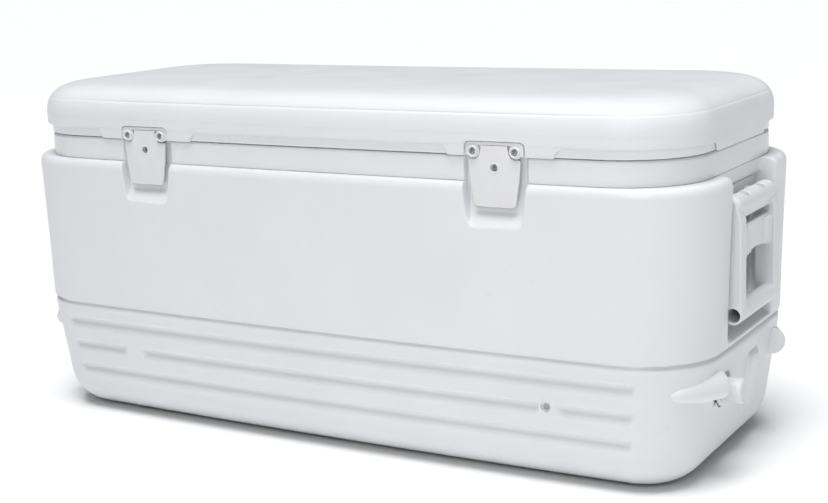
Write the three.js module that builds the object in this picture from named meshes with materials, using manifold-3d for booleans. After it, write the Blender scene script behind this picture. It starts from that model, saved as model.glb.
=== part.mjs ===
// Large white chest cooler: foam-filled double-wall body and lid, three rear hinges,
// two snap latches, two swing-up end handles and a screw-capped drain.
// Millimetres, +Z up, +X along the length, the latches on the -Y side.
import * as THREE from 'three';
import { mergeVertices } from 'three/addons/utils/BufferGeometryUtils.js';
import Module from 'manifold-3d';

const wasm = await Module();
wasm.setup();

// ---------------------------------------------------------------- driving dimensions
const GAP = 0.3; // clearance between touching pieces
const BOW = 6; // outward bow of the front face at mid length
const CORNER_STEPS = 5;
const FRONT_STEPS = 6;
const CORNER_SHRINK = 0.6; // how fast the corner radius falls as the outline is inset

const SHELL = { halfLength: 491, front: 204, back: 208, corner: 100, shrink: 1, top: 356, wall: 4 };
const RIM = { halfLength: 470, front: 196, back: 200, corner: 98, top: 385.4, wall: 8 };
const LID = { halfLength: 475, front: 201, back: 204.5, corner: 99, bottom: 385.8, top: 457 };
const TUB = {
  halfLength: 444, front: 172, back: 175, corner: 68, floor: 88, chamfer: 6, draft: 12, wall: 3,
};

// Outlines are [height, inset from the widest outline] pairs, bottom to top.
const SHELL_PROFILE = [
  [0, 74], [2, 59.4], [6, 48.9], [13, 38.7], [23, 29.8], [36, 23], [46.5, 20.5], [150, 6], [154, 6],
  [156.4, 9], [158.6, 6], [163, 5], [250, 3], [345, 0], [351, 1.6], [354.6, 4.6], [356, 8],
];
const SHELL_CAVITY = [
  [4.5, 64], [9, 50], [18, 39], [30, 31], [48, 24.8], [150, 10.4], [160, 11.5], [345, 4.5], [351.5, 6],
];
const LID_PROFILE = [
  [LID.bottom, 1.5], [397, 0.5], [412, 0], [424, 1.2], [433, 4.5], [441, 10.5], [447, 19],
  [451, 31], [453.6, 50], [455.6, 85], [LID.top, 130],
];
const LID_CAVITY = [[385, 4.5], [412, 3.5], [424, 4.7], [433, 8.5], [441, 15], [446, 24], [450, 45]];

const GROOVE = { tops: [137, 103, 69], height: 19, depth: 5.5, halfLength: 417, taper: 9 };

const RECESS = {
  halfWidth: 80, lipX: 486, lipZ: 164, deepX: 460, deepZ: 176, seatX: 465, seatZ: 300,
  upperX: 470, upperZ: 338,
};
const HANDLE = {
  pivotX: 483, pivotZ: 320, barrel: 12, halfWidth: 74, armInner: 54, armFront: 497, armBack: 474,
  plateFront: 491.5, plateBack: 486, slotTop: 304, slotBottom: 295, archSide: 255, archMiddle: 262,
  gripX: 488.5, gripZ: 194.5, gripRadius: 11, gripBore: 8.4,
};
const BRACKET = {
  halfWidth: 60, top: 337.4, bottom: 300.4, thickness: 3.2, lugY: 30, lugHalf: 6, lugRadius: 8,
};

const LATCH = { x: 252, halfWidth: 37.5, top: 402.5, face: -199, hingeY: -203.2, hingeZ: 398, thickness: 3 };
const FLAP = { back: -200, top: 397.6, bottom: 328, shoulder: 383, postZ: 373, postHole: 4.6 };
const EAR = { x: 26.5, z: 391.5, radius: 8, boss: 6.5 };
const POCKET = { top: 39, bottom: 31.5, floorZ: 304, backZ: 326, face: -194.5 };

const HINGE = {
  xs: [-300, 0, 300], y: 205.5, z: 385.6, knuckle: 4.5, half: 28, middle: 9.7, seatY: 198.5,
};
const HINGE_NAMES = ['left', 'middle', 'right'];
const DRAIN = {
  y: -75, z: 107, seatX: 473, tube: 11, bore: 8.8, flange: 19.5, capRadius: 15, capEnd: 504, nutX: 422,
};
const GUARD = { tip: [450, 172], base: [483, 101], z: 121, radius: 18 };
const PAD = {
  y: 24, halfWidth: 21, slope: 5, root: 455, faceTop: 486, faceLow: 477.5, drop: 6, top: 129, bottom: 42,
};
const PORT = { radius: 6, z: 96.5, rightX: 307, leftX: -303 };

// ---------------------------------------------------------------- materials
const FINISHES = {
  shell: { color: 0xf2f4f6, roughness: 0.38, metalness: 0 },
  trim: { color: 0xeceef0, roughness: 0.45, metalness: 0 },
  foam: { color: 0xe9d9a8, roughness: 0.95, metalness: 0 },
  steel: { color: 0x9a9da0, roughness: 0.3, metalness: 0.9 },
  rubber: { color: 0x2b2b2d, roughness: 0.85, metalness: 0 },
};

// ---------------------------------------------------------------- solids from geometry
function solid(geometry) {
  const bare = new THREE.BufferGeometry();
  bare.setAttribute('position', geometry.getAttribute('position'));
  if (geometry.index) bare.setIndex(geometry.index);
  const merged = mergeVertices(bare, 1e-4);
  const kept = [];
  const index = merged.index.array;
  for (let i = 0; i < index.length; i += 3) {
    const [a, b, c] = [index[i], index[i + 1], index[i + 2]];
    if (a !== b && b !== c && c !== a) kept.push(a, b, c);
  }
  return new wasm.Manifold(new wasm.Mesh({
    numProp: 3,
    vertProperties: new Float32Array(merged.getAttribute('position').array),
    triVerts: new Uint32Array(kept),
  }));
}

function geometryOf(manifold) {
  const mesh = manifold.getMesh();
  const geometry = new THREE.BufferGeometry();
  geometry.setAttribute('position', new THREE.BufferAttribute(new Float32Array(mesh.vertProperties), 3));
  geometry.setIndex(new THREE.BufferAttribute(new Uint32Array(mesh.triVerts), 1));
  geometry.computeVertexNormals();
  return geometry;
}

// A section (u, v) swept along w: which world axes u, v and w stand for.
const SWEEP = {
  x: (u, v, w) => [w, u, v],
  y: (u, v, w) => [v, w, u],
  z: (u, v, w) => [u, v, w],
};

// Skins a stack of counter-clockwise sections, each { w, points: [[u, v], ...] }, w rising.
function loft(axis, sections) {
  const count = sections[0].points.length;
  const place = SWEEP[axis];
  const positions = sections.flatMap(({ w, points }) => points.flatMap(([u, v]) => place(u, v, w)));
  const faces = [];
  for (let s = 0; s + 1 < sections.length; s += 1) {
    for (let i = 0; i < count; i += 1) {
      const j = (i + 1) % count;
      const [a, b] = [s * count + i, s * count + j];
      faces.push(a, b, b + count, a, b + count, a + count);
    }
  }
  const cap = (section) => THREE.ShapeUtils.triangulateShape(
    section.points.map(([u, v]) => new THREE.Vector2(u, v)), []);
  for (const [a, b, c] of cap(sections[0])) faces.push(a, c, b);
  const last = (sections.length - 1) * count;
  for (const [a, b, c] of cap(sections.at(-1))) faces.push(last + a, last + b, last + c);
  const geometry = new THREE.BufferGeometry();
  geometry.setAttribute('position', new THREE.Float32BufferAttribute(positions, 3));
  geometry.setIndex(faces);
  return solid(geometry);
}

function counterClockwise(points) {
  const area = THREE.ShapeUtils.area(points.map(([u, v]) => new THREE.Vector2(u, v)));
  return area < 0 ? [...points].reverse() : points;
}

// Prism of one section between w0 and w1. Sections are (y, z) along x, (z, x) along y.
function prism(axis, points, w0, w1) {
  const section = counterClockwise(points);
  return loft(axis, [{ w: w0, points: section }, { w: w1, points: section }]);
}

function box(x0, x1, y0, y1, z0, z1) {
  const geometry = new THREE.BoxGeometry(x1 - x0, y1 - y0, z1 - z0);
  geometry.translate((x0 + x1) / 2, (y0 + y1) / 2, (z0 + z1) / 2);
  return solid(geometry);
}

function rodX(y, z, radius, x0, x1, sides = 20) {
  const geometry = new THREE.CylinderGeometry(radius, radius, x1 - x0, sides);
  geometry.rotateZ(Math.PI / 2);
  geometry.translate((x0 + x1) / 2, y, z);
  return solid(geometry);
}

function rodY(x, z, radius, y0, y1, sides = 20) {
  const geometry = new THREE.CylinderGeometry(radius, radius, y1 - y0, sides);
  geometry.translate(x, (y0 + y1) / 2, z);
  return solid(geometry);
}

function arc(cx, cy, radius, from, to, steps) {
  return Array.from({ length: steps + 1 }, (_, i) => {
    const angle = THREE.MathUtils.degToRad(from + ((to - from) * i) / steps);
    return [cx + radius * Math.cos(angle), cy + radius * Math.sin(angle)];
  });
}

function union(pieces) {
  return pieces.reduce((whole, piece) => whole.add(piece));
}

function cut(whole, pieces) {
  return pieces.reduce((rest, piece) => rest.subtract(piece), whole);
}

// ---------------------------------------------------------------- outlines
function bowAt(x, straight) {
  return BOW * Math.max(0, 1 - (x / straight) ** 2);
}

// Rounded rectangle seen from above, its front side bowed outwards.
function outline(size, inset, steps = CORNER_STEPS) {
  const corner = Math.max(12, size.corner - (size.shrink ?? CORNER_SHRINK) * inset);
  const x = size.halfLength - inset - corner;
  const front = size.front - inset;
  const back = size.back - inset;
  const frontSide = Array.from({ length: FRONT_STEPS - 1 }, (_, i) => {
    const at = -x + (2 * x * (i + 1)) / FRONT_STEPS;
    return [at, -front - bowAt(at, x)];
  });
  return [
    ...frontSide,
    ...arc(x, -front + corner, corner, -90, 0, steps),
    ...arc(x, back - corner, corner, 0, 90, steps),
    ...arc(-x, back - corner, corner, 90, 180, steps),
    ...arc(-x, -front + corner, corner, 180, 270, steps),
  ];
}

function stack(size, profile, steps = CORNER_STEPS) {
  return loft('z', profile.map(([z, inset]) => ({ w: z, points: outline(size, inset, steps) })));
}

function insetAt(profile, z) {
  const upper = profile.findIndex(([height]) => height >= z);
  const [z0, inset0] = profile[upper - 1];
  const [z1, inset1] = profile[upper];
  return inset0 + ((inset1 - inset0) * (z - z0)) / (z1 - z0);
}

// ---------------------------------------------------------------- body cutters
// Each takes grow: 0 for the outside face, the wall thickness for the matching inside face.
function endRecess(side, grow) {
  const outside = 530;
  const profile = [
    [outside, RECESS.lipZ - 16 - grow],
    [RECESS.lipX, RECESS.lipZ - grow],
    [RECESS.deepX - grow, RECESS.deepZ - grow],
    [RECESS.deepX - grow, RECESS.seatZ + grow],
    [RECESS.seatX - grow, RECESS.seatZ + grow],
    [RECESS.seatX - grow, RECESS.upperZ + grow],
    [RECESS.upperX - grow, RECESS.upperZ + grow],
    [RECESS.upperX - grow, SHELL.top + 4],
    [outside, SHELL.top + 4],
  ];
  const half = RECESS.halfWidth + grow;
  return prism('y', profile.map(([x, z]) => [z, side * x]), -half, half);
}

function latchPocket(x, grow) {
  const corner = 9;
  const face = prism('y', [
    [SHELL.top + 5, x - POCKET.top - grow],
    [SHELL.top + 5, x + POCKET.top + grow],
    [POCKET.floorZ + corner - grow, x + POCKET.bottom + 1 + grow],
    [POCKET.floorZ - grow, x + POCKET.bottom - corner],
    [POCKET.floorZ - grow, x - POCKET.bottom + corner],
    [POCKET.floorZ + corner - grow, x - POCKET.bottom - 1 - grow],
  ], -240, -180);
  const depth = prism('x', [
    [-240, POCKET.floorZ - grow],
    [-209, POCKET.floorZ - grow],
    [POCKET.face + grow - 4, POCKET.backZ - 10 - grow],
    [POCKET.face + grow, POCKET.backZ - grow],
    [POCKET.face + grow, SHELL.top + 5],
    [-240, SHELL.top + 5],
  ], x - 60, x + 60);
  return face.intersect(depth);
}

// A long horizontal groove that follows the bow: sharp upper edge, gentle lower slope.
function frontGroove(top, grow) {
  const low = top - GROOVE.height;
  const straight = SHELL.halfLength - SHELL.corner;
  const face = (z) => SHELL.front - insetAt(SHELL_PROFILE, z);
  const section = (x, depth) => {
    const bow = bowAt(x, straight);
    return counterClockwise([
      [-face(top) - bow - 20, top + grow],
      [-face(top) - bow + 0.4, top + grow],
      [-face(top) - bow + depth, top - 2 + grow],
      [-face(top) - bow + depth, top - 6],
      [-face(low) - bow + 0.4, low - grow],
      [-face(low) - bow - 20, low - grow],
    ]);
  };
  const half = GROOVE.halfLength + grow;
  const count = 6;
  const inner = Array.from({ length: count + 1 }, (_, i) => {
    const x = (half - GROOVE.taper) * (-1 + (2 * i) / count);
    return { w: x, points: section(x, GROOVE.depth + grow) };
  });
  const end = 1 + grow;
  return loft('x', [
    { w: -half, points: section(-half, end) }, ...inner, { w: half, points: section(half, end) },
  ]);
}

// Bullet-shaped guard that swells out of a body corner and ends square beside the end wall.
function cornerGuard(sideX, sideY) {
  const [tipX, tipY] = GUARD.tip;
  const [baseX, baseY] = GUARD.base;
  const length = Math.hypot(baseX - tipX, baseY - tipY);
  const steps = 6;
  const curve = Array.from({ length: steps }, (_, i) => {
    const t = i / (steps - 1);
    return new THREE.Vector2(GUARD.radius * Math.sqrt(1 - (1 - t) ** 2), length * t);
  });
  const geometry = new THREE.LatheGeometry([...curve, new THREE.Vector2(0, length)], 14);
  const axis = new THREE.Vector3(sideX * (baseX - tipX), sideY * (baseY - tipY), 0).normalize();
  geometry.applyQuaternion(new THREE.Quaternion().setFromUnitVectors(new THREE.Vector3(0, 1, 0), axis));
  geometry.translate(sideX * tipX, sideY * tipY, GUARD.z);
  return solid(geometry);
}

// Upright pad that stands out of the lower end wall beside the drain.
function endPad(side, shrink) {
  const section = (drop) => counterClockwise([
    [PAD.bottom + shrink, PAD.root],
    [PAD.bottom + 16 + shrink, PAD.faceLow - drop - shrink],
    [PAD.top - 10, PAD.faceTop - drop - shrink],
    [PAD.top - 2 - shrink, PAD.faceTop - 2 - drop - shrink],
    [PAD.top - shrink, PAD.faceTop - 8 - drop],
    [PAD.top - shrink, PAD.root],
  ].map(([z, x]) => [z, side * x]));
  const half = PAD.halfWidth - shrink;
  const stations = [[-half, PAD.drop], [PAD.slope - half, 0], [half - PAD.slope, 0], [half, PAD.drop]];
  return loft('y', stations.map(([y, drop]) => ({ w: side * PAD.y + y, points: section(drop) })));
}

// ---------------------------------------------------------------- body
function bodyShell() {
  const sides = [-1, 1];
  const guards = sides.flatMap((x) => sides.map((y) => cornerGuard(x, y)));
  const pads = sides.map((side) => endPad(side, 0));
  const outer = cut(union([stack(SHELL, SHELL_PROFILE), ...guards, ...pads]), [
    ...sides.map((side) => endRecess(side, 0)),
    ...sides.map((side) => latchPocket(side * LATCH.x, 0)),
    ...GROOVE.tops.map((top) => frontGroove(top, 0)),
    rodX(DRAIN.y, DRAIN.z, DRAIN.flange + 1.5, DRAIN.seatX, 530, 24),
  ]);
  const hollow = union([stack(SHELL, SHELL_CAVITY, 4), ...sides.map((side) => endPad(side, SHELL.wall))]);
  const cavity = cut(hollow, [
    ...sides.map((side) => endRecess(side, SHELL.wall)),
    ...sides.map((side) => latchPocket(side * LATCH.x, SHELL.wall)),
    ...GROOVE.tops.map((top) => frontGroove(top, SHELL.wall)),
    rodX(DRAIN.y, DRAIN.z, DRAIN.flange + 6, DRAIN.seatX - SHELL.wall, 530),
  ]);
  const throat = stack(RIM, [[350, 12], [SHELL.top + 4, 12]], 4);
  return cut(outer, [
    cavity,
    throat,
    rodX(DRAIN.y, DRAIN.z, DRAIN.tube + GAP, 440, 530),
    rodY(PORT.rightX, PORT.z, PORT.radius + GAP, -230, -170, 16),
    rodY(PORT.leftX, PORT.z, PORT.radius + GAP, -230, -170, 16),
    ...bracketScrewPlaces().map(([side, y, z]) => rodX(y, z, 2.2, side * 461 - 9, side * 461 + 9, 10)),
  ]);
}

function tubOuter(grow, steps) {
  return stack(TUB, [
    [TUB.floor - TUB.wall - grow, TUB.draft + TUB.chamfer - TUB.wall - grow],
    [TUB.floor + TUB.chamfer, TUB.draft - TUB.wall - grow],
    [RIM.top, -TUB.wall - grow],
  ], steps);
}

function bodyLiner() {
  const skirt = stack(RIM, [[SHELL.top + GAP, 0.6], [SHELL.top + 8, 0], [RIM.top - 3, 0.2], [RIM.top, 2.5]]);
  const hollow = stack(RIM, [[SHELL.top - 1, RIM.wall], [RIM.top - 4, RIM.wall]], 4);
  const basin = stack(TUB, [
    [TUB.floor, TUB.draft + TUB.chamfer], [TUB.floor + TUB.chamfer, TUB.draft],
    [RIM.top - 6, 0], [RIM.top + 1, -1],
  ], 5);
  return cut(skirt.subtract(hollow).add(tubOuter(0, 5)), [
    basin,
    rodX(DRAIN.y, DRAIN.z, DRAIN.tube + GAP, 400, 460),
    ...[-1, 1].map((side) => box(
      side * LATCH.x - POCKET.top, side * LATCH.x + POCKET.top,
      -240, POCKET.face, SHELL.top - 1, RIM.top + 2)),
    ...[-1, 1].map((side) => rodY(side * LATCH.x, FLAP.postZ, 2, -200, -185, 8)),
    ...HINGE.xs.map((x) => box(x - 31, x + 31, HINGE.seatY, 230, SHELL.top - 1, RIM.top + 2)),
    ...hingeScrewPlaces().filter(([, , , onLid]) => !onLid).map(([, x, z]) => rodY(x, z, 1.9, 185, 205, 8)),
  ]);
}

function bodyFoam() {
  const block = stack(SHELL, [
    [5.5, 66], [10, 51.5], [19, 40.5], [31, 32.5], [49, 26.2], [150, 13], [160, 14], [345, 7], [350, 8],
  ], 4);
  return cut(block, [
    ...[-1, 1].map((side) => endRecess(side, SHELL.wall + 0.7)),
    ...[-1, 1].map((side) => latchPocket(side * LATCH.x, SHELL.wall + 0.7)),
    ...GROOVE.tops.map((top) => frontGroove(top, SHELL.wall + 0.7)),
    tubOuter(1.5, 4),
    rodX(DRAIN.y, DRAIN.z, DRAIN.flange + 7, 466, 530),
    rodX(DRAIN.y, DRAIN.z, DRAIN.tube + 1, 420, 530),
    rodY(PORT.rightX, PORT.z, PORT.radius + 2, -230, -172, 12),
    rodY(PORT.leftX, PORT.z, PORT.radius + 2, -230, -172, 12),
  ]);
}

// ---------------------------------------------------------------- lid
function lidEdgeCuts() {
  const top = 397.5;
  const slope = 9;
  const cutAcross = (x0, x1, y0, y1) => prism('y', [
    [LID.bottom - 5, x0], [LID.bottom - 5, x1], [LID.bottom, x1],
    [top, x1 - slope], [top, x0 + slope], [LID.bottom, x0],
  ], y0, y1);
  const corner = (sideX, sideY) => {
    const xs = [325, 520].map((x) => sideX * x).sort((a, b) => a - b);
    const ys = [84, 240].map((y) => sideY * y).sort((a, b) => a - b);
    const alongFront = cutAcross(xs[0], xs[1], ...[150, 240].map((y) => sideY * y).sort((a, b) => a - b));
    const alongEnd = prism('x', [
      [ys[0], LID.bottom - 5], [ys[1], LID.bottom - 5], [ys[1], LID.bottom], [ys[1] - slope, top],
      [ys[0] + slope, top], [ys[0], LID.bottom],
    ], ...[400, 520].map((x) => sideX * x).sort((a, b) => a - b));
    return alongFront.add(alongEnd);
  };
  return [
    cutAcross(-178, 192, -240, -165),
    ...[-1, 1].flatMap((sideX) => [-1, 1].map((sideY) => corner(sideX, sideY))),
  ];
}

// Thick pads inside the lid's skirt, behind the latches and the hinge leaves.
function lidPads(grow) {
  const latchPads = [-1, 1].map((side) => box(
    side * LATCH.x - 42 - grow, side * LATCH.x + 42 + grow,
    -204 - grow, LATCH.face + 4 + grow, LID.bottom, LATCH.top + 5 + grow));
  const hingePads = HINGE.xs.map((x) => box(
    x - 34 - grow, x + 34 + grow, HINGE.seatY - 4 - grow, 203 + grow, LID.bottom, 411 + grow));
  return [...latchPads, ...hingePads];
}

function lidShell() {
  const hollow = stack(LID, LID_CAVITY, 5);
  const shell = union([stack(LID, LID_PROFILE).subtract(hollow), ...lidPads(0)]);
  return cut(shell, [
    ...lidEdgeCuts(),
    ...[-1, 1].map((side) => box(
      side * LATCH.x - LATCH.halfWidth, side * LATCH.x + LATCH.halfWidth,
      -240, LATCH.face, LID.bottom - 5, LATCH.top)),
    ...HINGE.xs.map((x) => box(x - 31, x + 31, HINGE.seatY, 230, LID.bottom - 5, 409)),
    ...latchScrewPlaces().map(([, x]) => rodY(x, EAR.z, 1.9, -205, -190, 8)),
    ...hingeScrewPlaces().filter(([, , , onLid]) => onLid).map(([, x, z]) => rodY(x, z, 1.9, 190, 205, 8)),
  ]);
}

function lidLiner() {
  const floor = LID.bottom + GAP;
  const plug = { halfLength: 437, front: 165, back: 168, corner: 62 };
  const outer = union([
    stack(LID, [[floor, 5.6], [401, 5.2]], 5),
    stack(plug, [[376, 3], [379, 0], [floor + 1, 0]], 5),
  ]);
  return cut(outer, [
    stack(LID, [[floor + 3, 8.4], [402, 8.4]], 5),
    stack(plug, [[379, 4], [floor + 4, 3.5]], 5),
    ...lidPads(GAP + 0.1),
  ]);
}

function lidFoam() {
  const plug = { halfLength: 437, front: 165, back: 168, corner: 62 };
  const upper = stack(LID, [[LID.bottom + 3.8, 20], [430, 20], [441, 24], [446, 40], [449, 60]], 4);
  return upper.add(stack(plug, [[379.5, 6], [LID.bottom + 5, 6]], 4));
}

// ---------------------------------------------------------------- rear hinges
function hingeScrewPlaces() {
  const offsets = [-18, 18];
  return HINGE.xs.flatMap((x, i) => [
    ...offsets.map((dx) => [HINGE_NAMES[i], x + dx, 367, false]),
    ...offsets.map((dx) => [HINGE_NAMES[i], x + dx, 402, true]),
  ]);
}

// up is +1 for the lid leaf and -1 for the body leaf; spans are the knuckles' x ranges.
function hingeLeaf(x, up, spans) {
  const plateNear = 5;
  const plateFar = up > 0 ? 22 : 26;
  const back = HINGE.seatY + GAP;
  const at = (y, dz) => [y, HINGE.z + up * dz];
  const plate = prism('x', [
    at(back, plateNear), at(back + 2.4, plateNear), at(back + 2.4, plateFar), at(back, plateFar),
  ], x - HINGE.half, x + HINGE.half);
  const knuckles = spans.flatMap(([x0, x1]) => [
    rodX(HINGE.y, HINGE.z, HINGE.knuckle, x + x0, x + x1, 16),
    prism('x', [
      at(back, plateNear + 5), at(back, plateNear), at(HINGE.y - 3.6, 1), at(HINGE.y, 4),
      at(back + 2.4, plateNear + 6),
    ], x + x0, x + x1),
  ]);
  const holes = [-18, 18].map((dx) => rodY(x + dx, up > 0 ? 402 : 367, 1.9, 190, 215, 8));
  return cut(union([plate, ...knuckles]), [
    rodX(HINGE.y, HINGE.z, 2.2, x - 40, x + 40, 12), ...holes,
  ]);
}

// ---------------------------------------------------------------- latches
function latchScrewPlaces() {
  return [['left', -LATCH.x], ['right', LATCH.x]].flatMap(([name, x]) => [
    [name, x - EAR.x], [name, x + EAR.x],
  ]);
}

// Fixed top strip with an ear and a raised screw boss at each side.
function latchFrame(x) {
  const back = LATCH.face - GAP;
  const front = back - LATCH.thickness;
  const strip = box(x - 36.5, x + 36.5, front, back, FLAP.top + 0.8, LATCH.top - 0.5);
  const ears = [-1, 1].flatMap((side) => {
    const edge = [x + side * 36.5, x + side * (EAR.x - 1)].sort((a, b) => a - b);
    return [
      box(edge[0], edge[1], front, back, EAR.z - 4, FLAP.top + 2),
      rodY(x + side * EAR.x, EAR.z, EAR.radius, front, back, 16),
      rodY(x + side * EAR.x, EAR.z, EAR.boss, front - 3.6, back, 16),
    ];
  });
  return cut(union([strip, ...ears]), [-1, 1].flatMap((side) => [
    rodY(x + side * EAR.x, EAR.z, 4.1, front - 10, front + 0.4, 12),
    rodY(x + side * EAR.x, EAR.z, 1.9, front - 10, back + 5, 8),
  ]));
}

function latchFlap(x) {
  const clearance = 9.2;
  const half = (side) => [
    [side * 16.4, FLAP.top],
    [side * (EAR.x - clearance), EAR.z + 2],
    ...arc(side * EAR.x, EAR.z, clearance, side > 0 ? 180 : 0, side > 0 ? 285 : -105, 6),
    [side * 32.6, FLAP.shoulder - 1.5],
    [side * 30.8, 358],
    [side * 26.4, FLAP.bottom + 4],
    [side * 23, FLAP.bottom + 0.6],
    [side * 11, FLAP.bottom],
  ];
  const points = [...half(-1), ...half(1).reverse()].map(([dx, z]) => [z, x + dx]);
  const blade = prism('y', points, FLAP.back - LATCH.thickness, FLAP.back);
  return blade.subtract(rodY(x, FLAP.postZ, FLAP.postHole, -215, -195, 14));
}

function latchKeeper(x) {
  const post = rodY(x, FLAP.postZ, 5.4, FLAP.back + 0.5, POCKET.face - GAP, 18);
  return cut(post, [
    rodY(x, FLAP.postZ, 3.8, FLAP.back - 5, FLAP.back + 2.4, 16),
    rodY(x, FLAP.postZ, 2, -210, -190, 8),
  ]);
}

// ---------------------------------------------------------------- end handles
function bracketScrewPlaces() {
  return [-1, 1].flatMap((side) => [-50, 50].map((y) => [side, y, 306]));
}

function handleBracket() {
  const back = RECESS.seatX + GAP;
  const front = back + BRACKET.thickness;
  const plate = box(back, front, -BRACKET.halfWidth, BRACKET.halfWidth, BRACKET.bottom, BRACKET.top);
  const lugs = [-1, 1].flatMap((side) => {
    const y0 = side * BRACKET.lugY - BRACKET.lugHalf;
    const y1 = side * BRACKET.lugY + BRACKET.lugHalf;
    return [
      box(back, HANDLE.pivotX, y0, y1, HANDLE.pivotZ - BRACKET.lugRadius, HANDLE.pivotZ + BRACKET.lugRadius),
      rodY(HANDLE.pivotX, HANDLE.pivotZ, BRACKET.lugRadius, y0, y1, 24),
    ];
  });
  return cut(union([plate, ...lugs]), [
    rodY(HANDLE.pivotX, HANDLE.pivotZ, 3.3, -60, 60, 14),
    ...[-50, 50].map((y) => rodX(y, 306, 2.2, 460, 475, 10)),
  ]);
}

function handleGrip() {
  const h = HANDLE;
  const barrel = prism('y', [
    ...arc(h.pivotZ, h.pivotX, h.barrel, 90, -135, 12),
    [h.slotTop + 4, h.plateBack - 8],
    [h.slotTop, h.plateBack - 5],
    [h.slotTop, h.plateFront - 1],
  ], -h.halfWidth, h.halfWidth);
  const armProfile = [
    ...arc(h.pivotZ, h.pivotX, h.barrel, 90, -40, 6),
    [h.slotTop, h.armBack],
    [h.gripZ + 9, h.armBack],
    [h.gripZ, h.gripX - h.gripRadius + 0.5],
    [h.gripZ - h.gripRadius + 1, h.gripX],
    [h.gripZ, h.gripX + h.gripRadius - 0.5],
    [h.gripZ + 18, h.armFront + 1],
    [h.slotTop, h.armFront],
  ];
  const arms = [
    prism('y', armProfile, -h.halfWidth, -h.armInner), prism('y', armProfile, h.armInner, h.halfWidth),
  ];
  const archSteps = 8;
  const arch = Array.from({ length: archSteps + 1 }, (_, i) => {
    const t = -1 + (2 * i) / archSteps;
    return [h.armInner * 1.04 * t, h.archSide + (h.archMiddle - h.archSide) * (1 - t * t)];
  });
  const plate = prism('x', [
    ...arch, [h.armInner * 1.04, h.slotBottom], [-h.armInner * 1.04, h.slotBottom],
  ], h.plateBack, h.plateFront);
  const tube = rodY(h.gripX, h.gripZ, h.gripRadius, -h.halfWidth - 1, h.halfWidth + 1, 24);
  const lugSlots = [-1, 1].map((side) => box(
    h.pivotX - 20, h.pivotX + 10.2,
    side * BRACKET.lugY - BRACKET.lugHalf - 0.6, side * BRACKET.lugY + BRACKET.lugHalf + 0.6,
    h.pivotZ - BRACKET.lugRadius - 0.7, h.pivotZ + 20));
  const armCores = [-1, 1].map((side) => {
    const ys = [57, 71].map((y) => side * y).sort((a, b) => a - b);
    return box(h.armBack - 5, h.armFront - 3.5, ys[0], ys[1], 212, 306);
  });
  return cut(union([barrel, ...arms, plate, tube]), [
    rodY(h.gripX, h.gripZ, h.gripBore, -h.halfWidth - 10, h.halfWidth + 10, 24),
    rodY(h.pivotX, h.pivotZ, 3.3, -55, h.halfWidth + 10, 14),
    ...lugSlots,
    ...armCores,
  ]);
}

// ---------------------------------------------------------------- drain and foam ports
function tubeX(outer, inner, x0, x1, sides = 20) {
  return rodX(DRAIN.y, DRAIN.z, outer, x0, x1, sides).subtract(
    rodX(DRAIN.y, DRAIN.z, inner, x0 - 1, x1 + 1, 20));
}

function drainFitting() {
  const flange = rodX(DRAIN.y, DRAIN.z, DRAIN.flange, DRAIN.seatX + 2.6, DRAIN.seatX + 6);
  const tube = rodX(DRAIN.y, DRAIN.z, DRAIN.tube, DRAIN.nutX, 497);
  return flange.add(tube).subtract(rodX(DRAIN.y, DRAIN.z, DRAIN.bore, DRAIN.nutX - 5, 500));
}

function drainCap() {
  const start = DRAIN.seatX + 7;
  const body = rodX(DRAIN.y, DRAIN.z, DRAIN.capRadius, start, DRAIN.capEnd);
  return body.subtract(rodX(DRAIN.y, DRAIN.z, DRAIN.tube + GAP, start - 2, 499.6));
}

function portPlug(x, frontY) {
  const body = rodY(x, PORT.z, PORT.radius, frontY, frontY + 9, 16);
  return body.subtract(rodY(x, PORT.z, PORT.radius - 1.8, frontY - 1, frontY + 6, 14));
}

function screw(axis, at, headRadius, headSide, length) {
  const [x, y, z] = at;
  const head = 1.8;
  const shank = 1.6;
  const span = (direction, size) => (direction > 0 ? [0, size] : [-size, 0]);
  const [h0, h1] = span(headSide, head);
  const [s0, s1] = span(-headSide, length);
  if (axis === 'x') {
    return rodX(y, z, headRadius, x + h0, x + h1, 10).add(rodX(y, z, shank, x + s0 - 0.2, x + s1 + 0.2, 6));
  }
  return rodY(x, z, headRadius, y + h0, y + h1, 10).add(rodY(x, z, shank, y + s0 - 0.2, y + s1 + 0.2, 6));
}

// ---------------------------------------------------------------- assembly
const cooler = new THREE.Group();

function place(name, manifold, finish, parent = cooler) {
  const mesh = new THREE.Mesh(geometryOf(manifold), new THREE.MeshStandardMaterial(FINISHES[finish]));
  mesh.name = name;
  parent.add(mesh);
}

place('body_shell', bodyShell(), 'shell');
place('body_liner', bodyLiner(), 'shell');
place('body_foam', bodyFoam(), 'foam');
place('lid_shell', lidShell(), 'shell');
place('lid_liner', lidLiner(), 'shell');
place('lid_foam', lidFoam(), 'foam');

HINGE_NAMES.forEach((name, i) => {
  const x = HINGE.xs[i];
  const { half, middle } = HINGE;
  place(`hinge_${name}_body_leaf`, hingeLeaf(x, -1, [[-half, -middle - 0.5], [middle + 0.5, half]]), 'trim');
  place(`hinge_${name}_lid_leaf`, hingeLeaf(x, 1, [[-middle, middle]]), 'trim');
  place(`hinge_${name}_pin`, rodX(HINGE.y, HINGE.z, 1.9, x - half, x + half, 12), 'steel');
  hingeScrewPlaces().filter(([owner]) => owner === name).forEach(([, screwX, z], k) => {
    place(`hinge_${name}_screw_${k + 1}`,
      screw('y', [screwX, HINGE.seatY + 3, z], 3.4, 1, 6.5), 'steel');
  });
});

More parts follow.
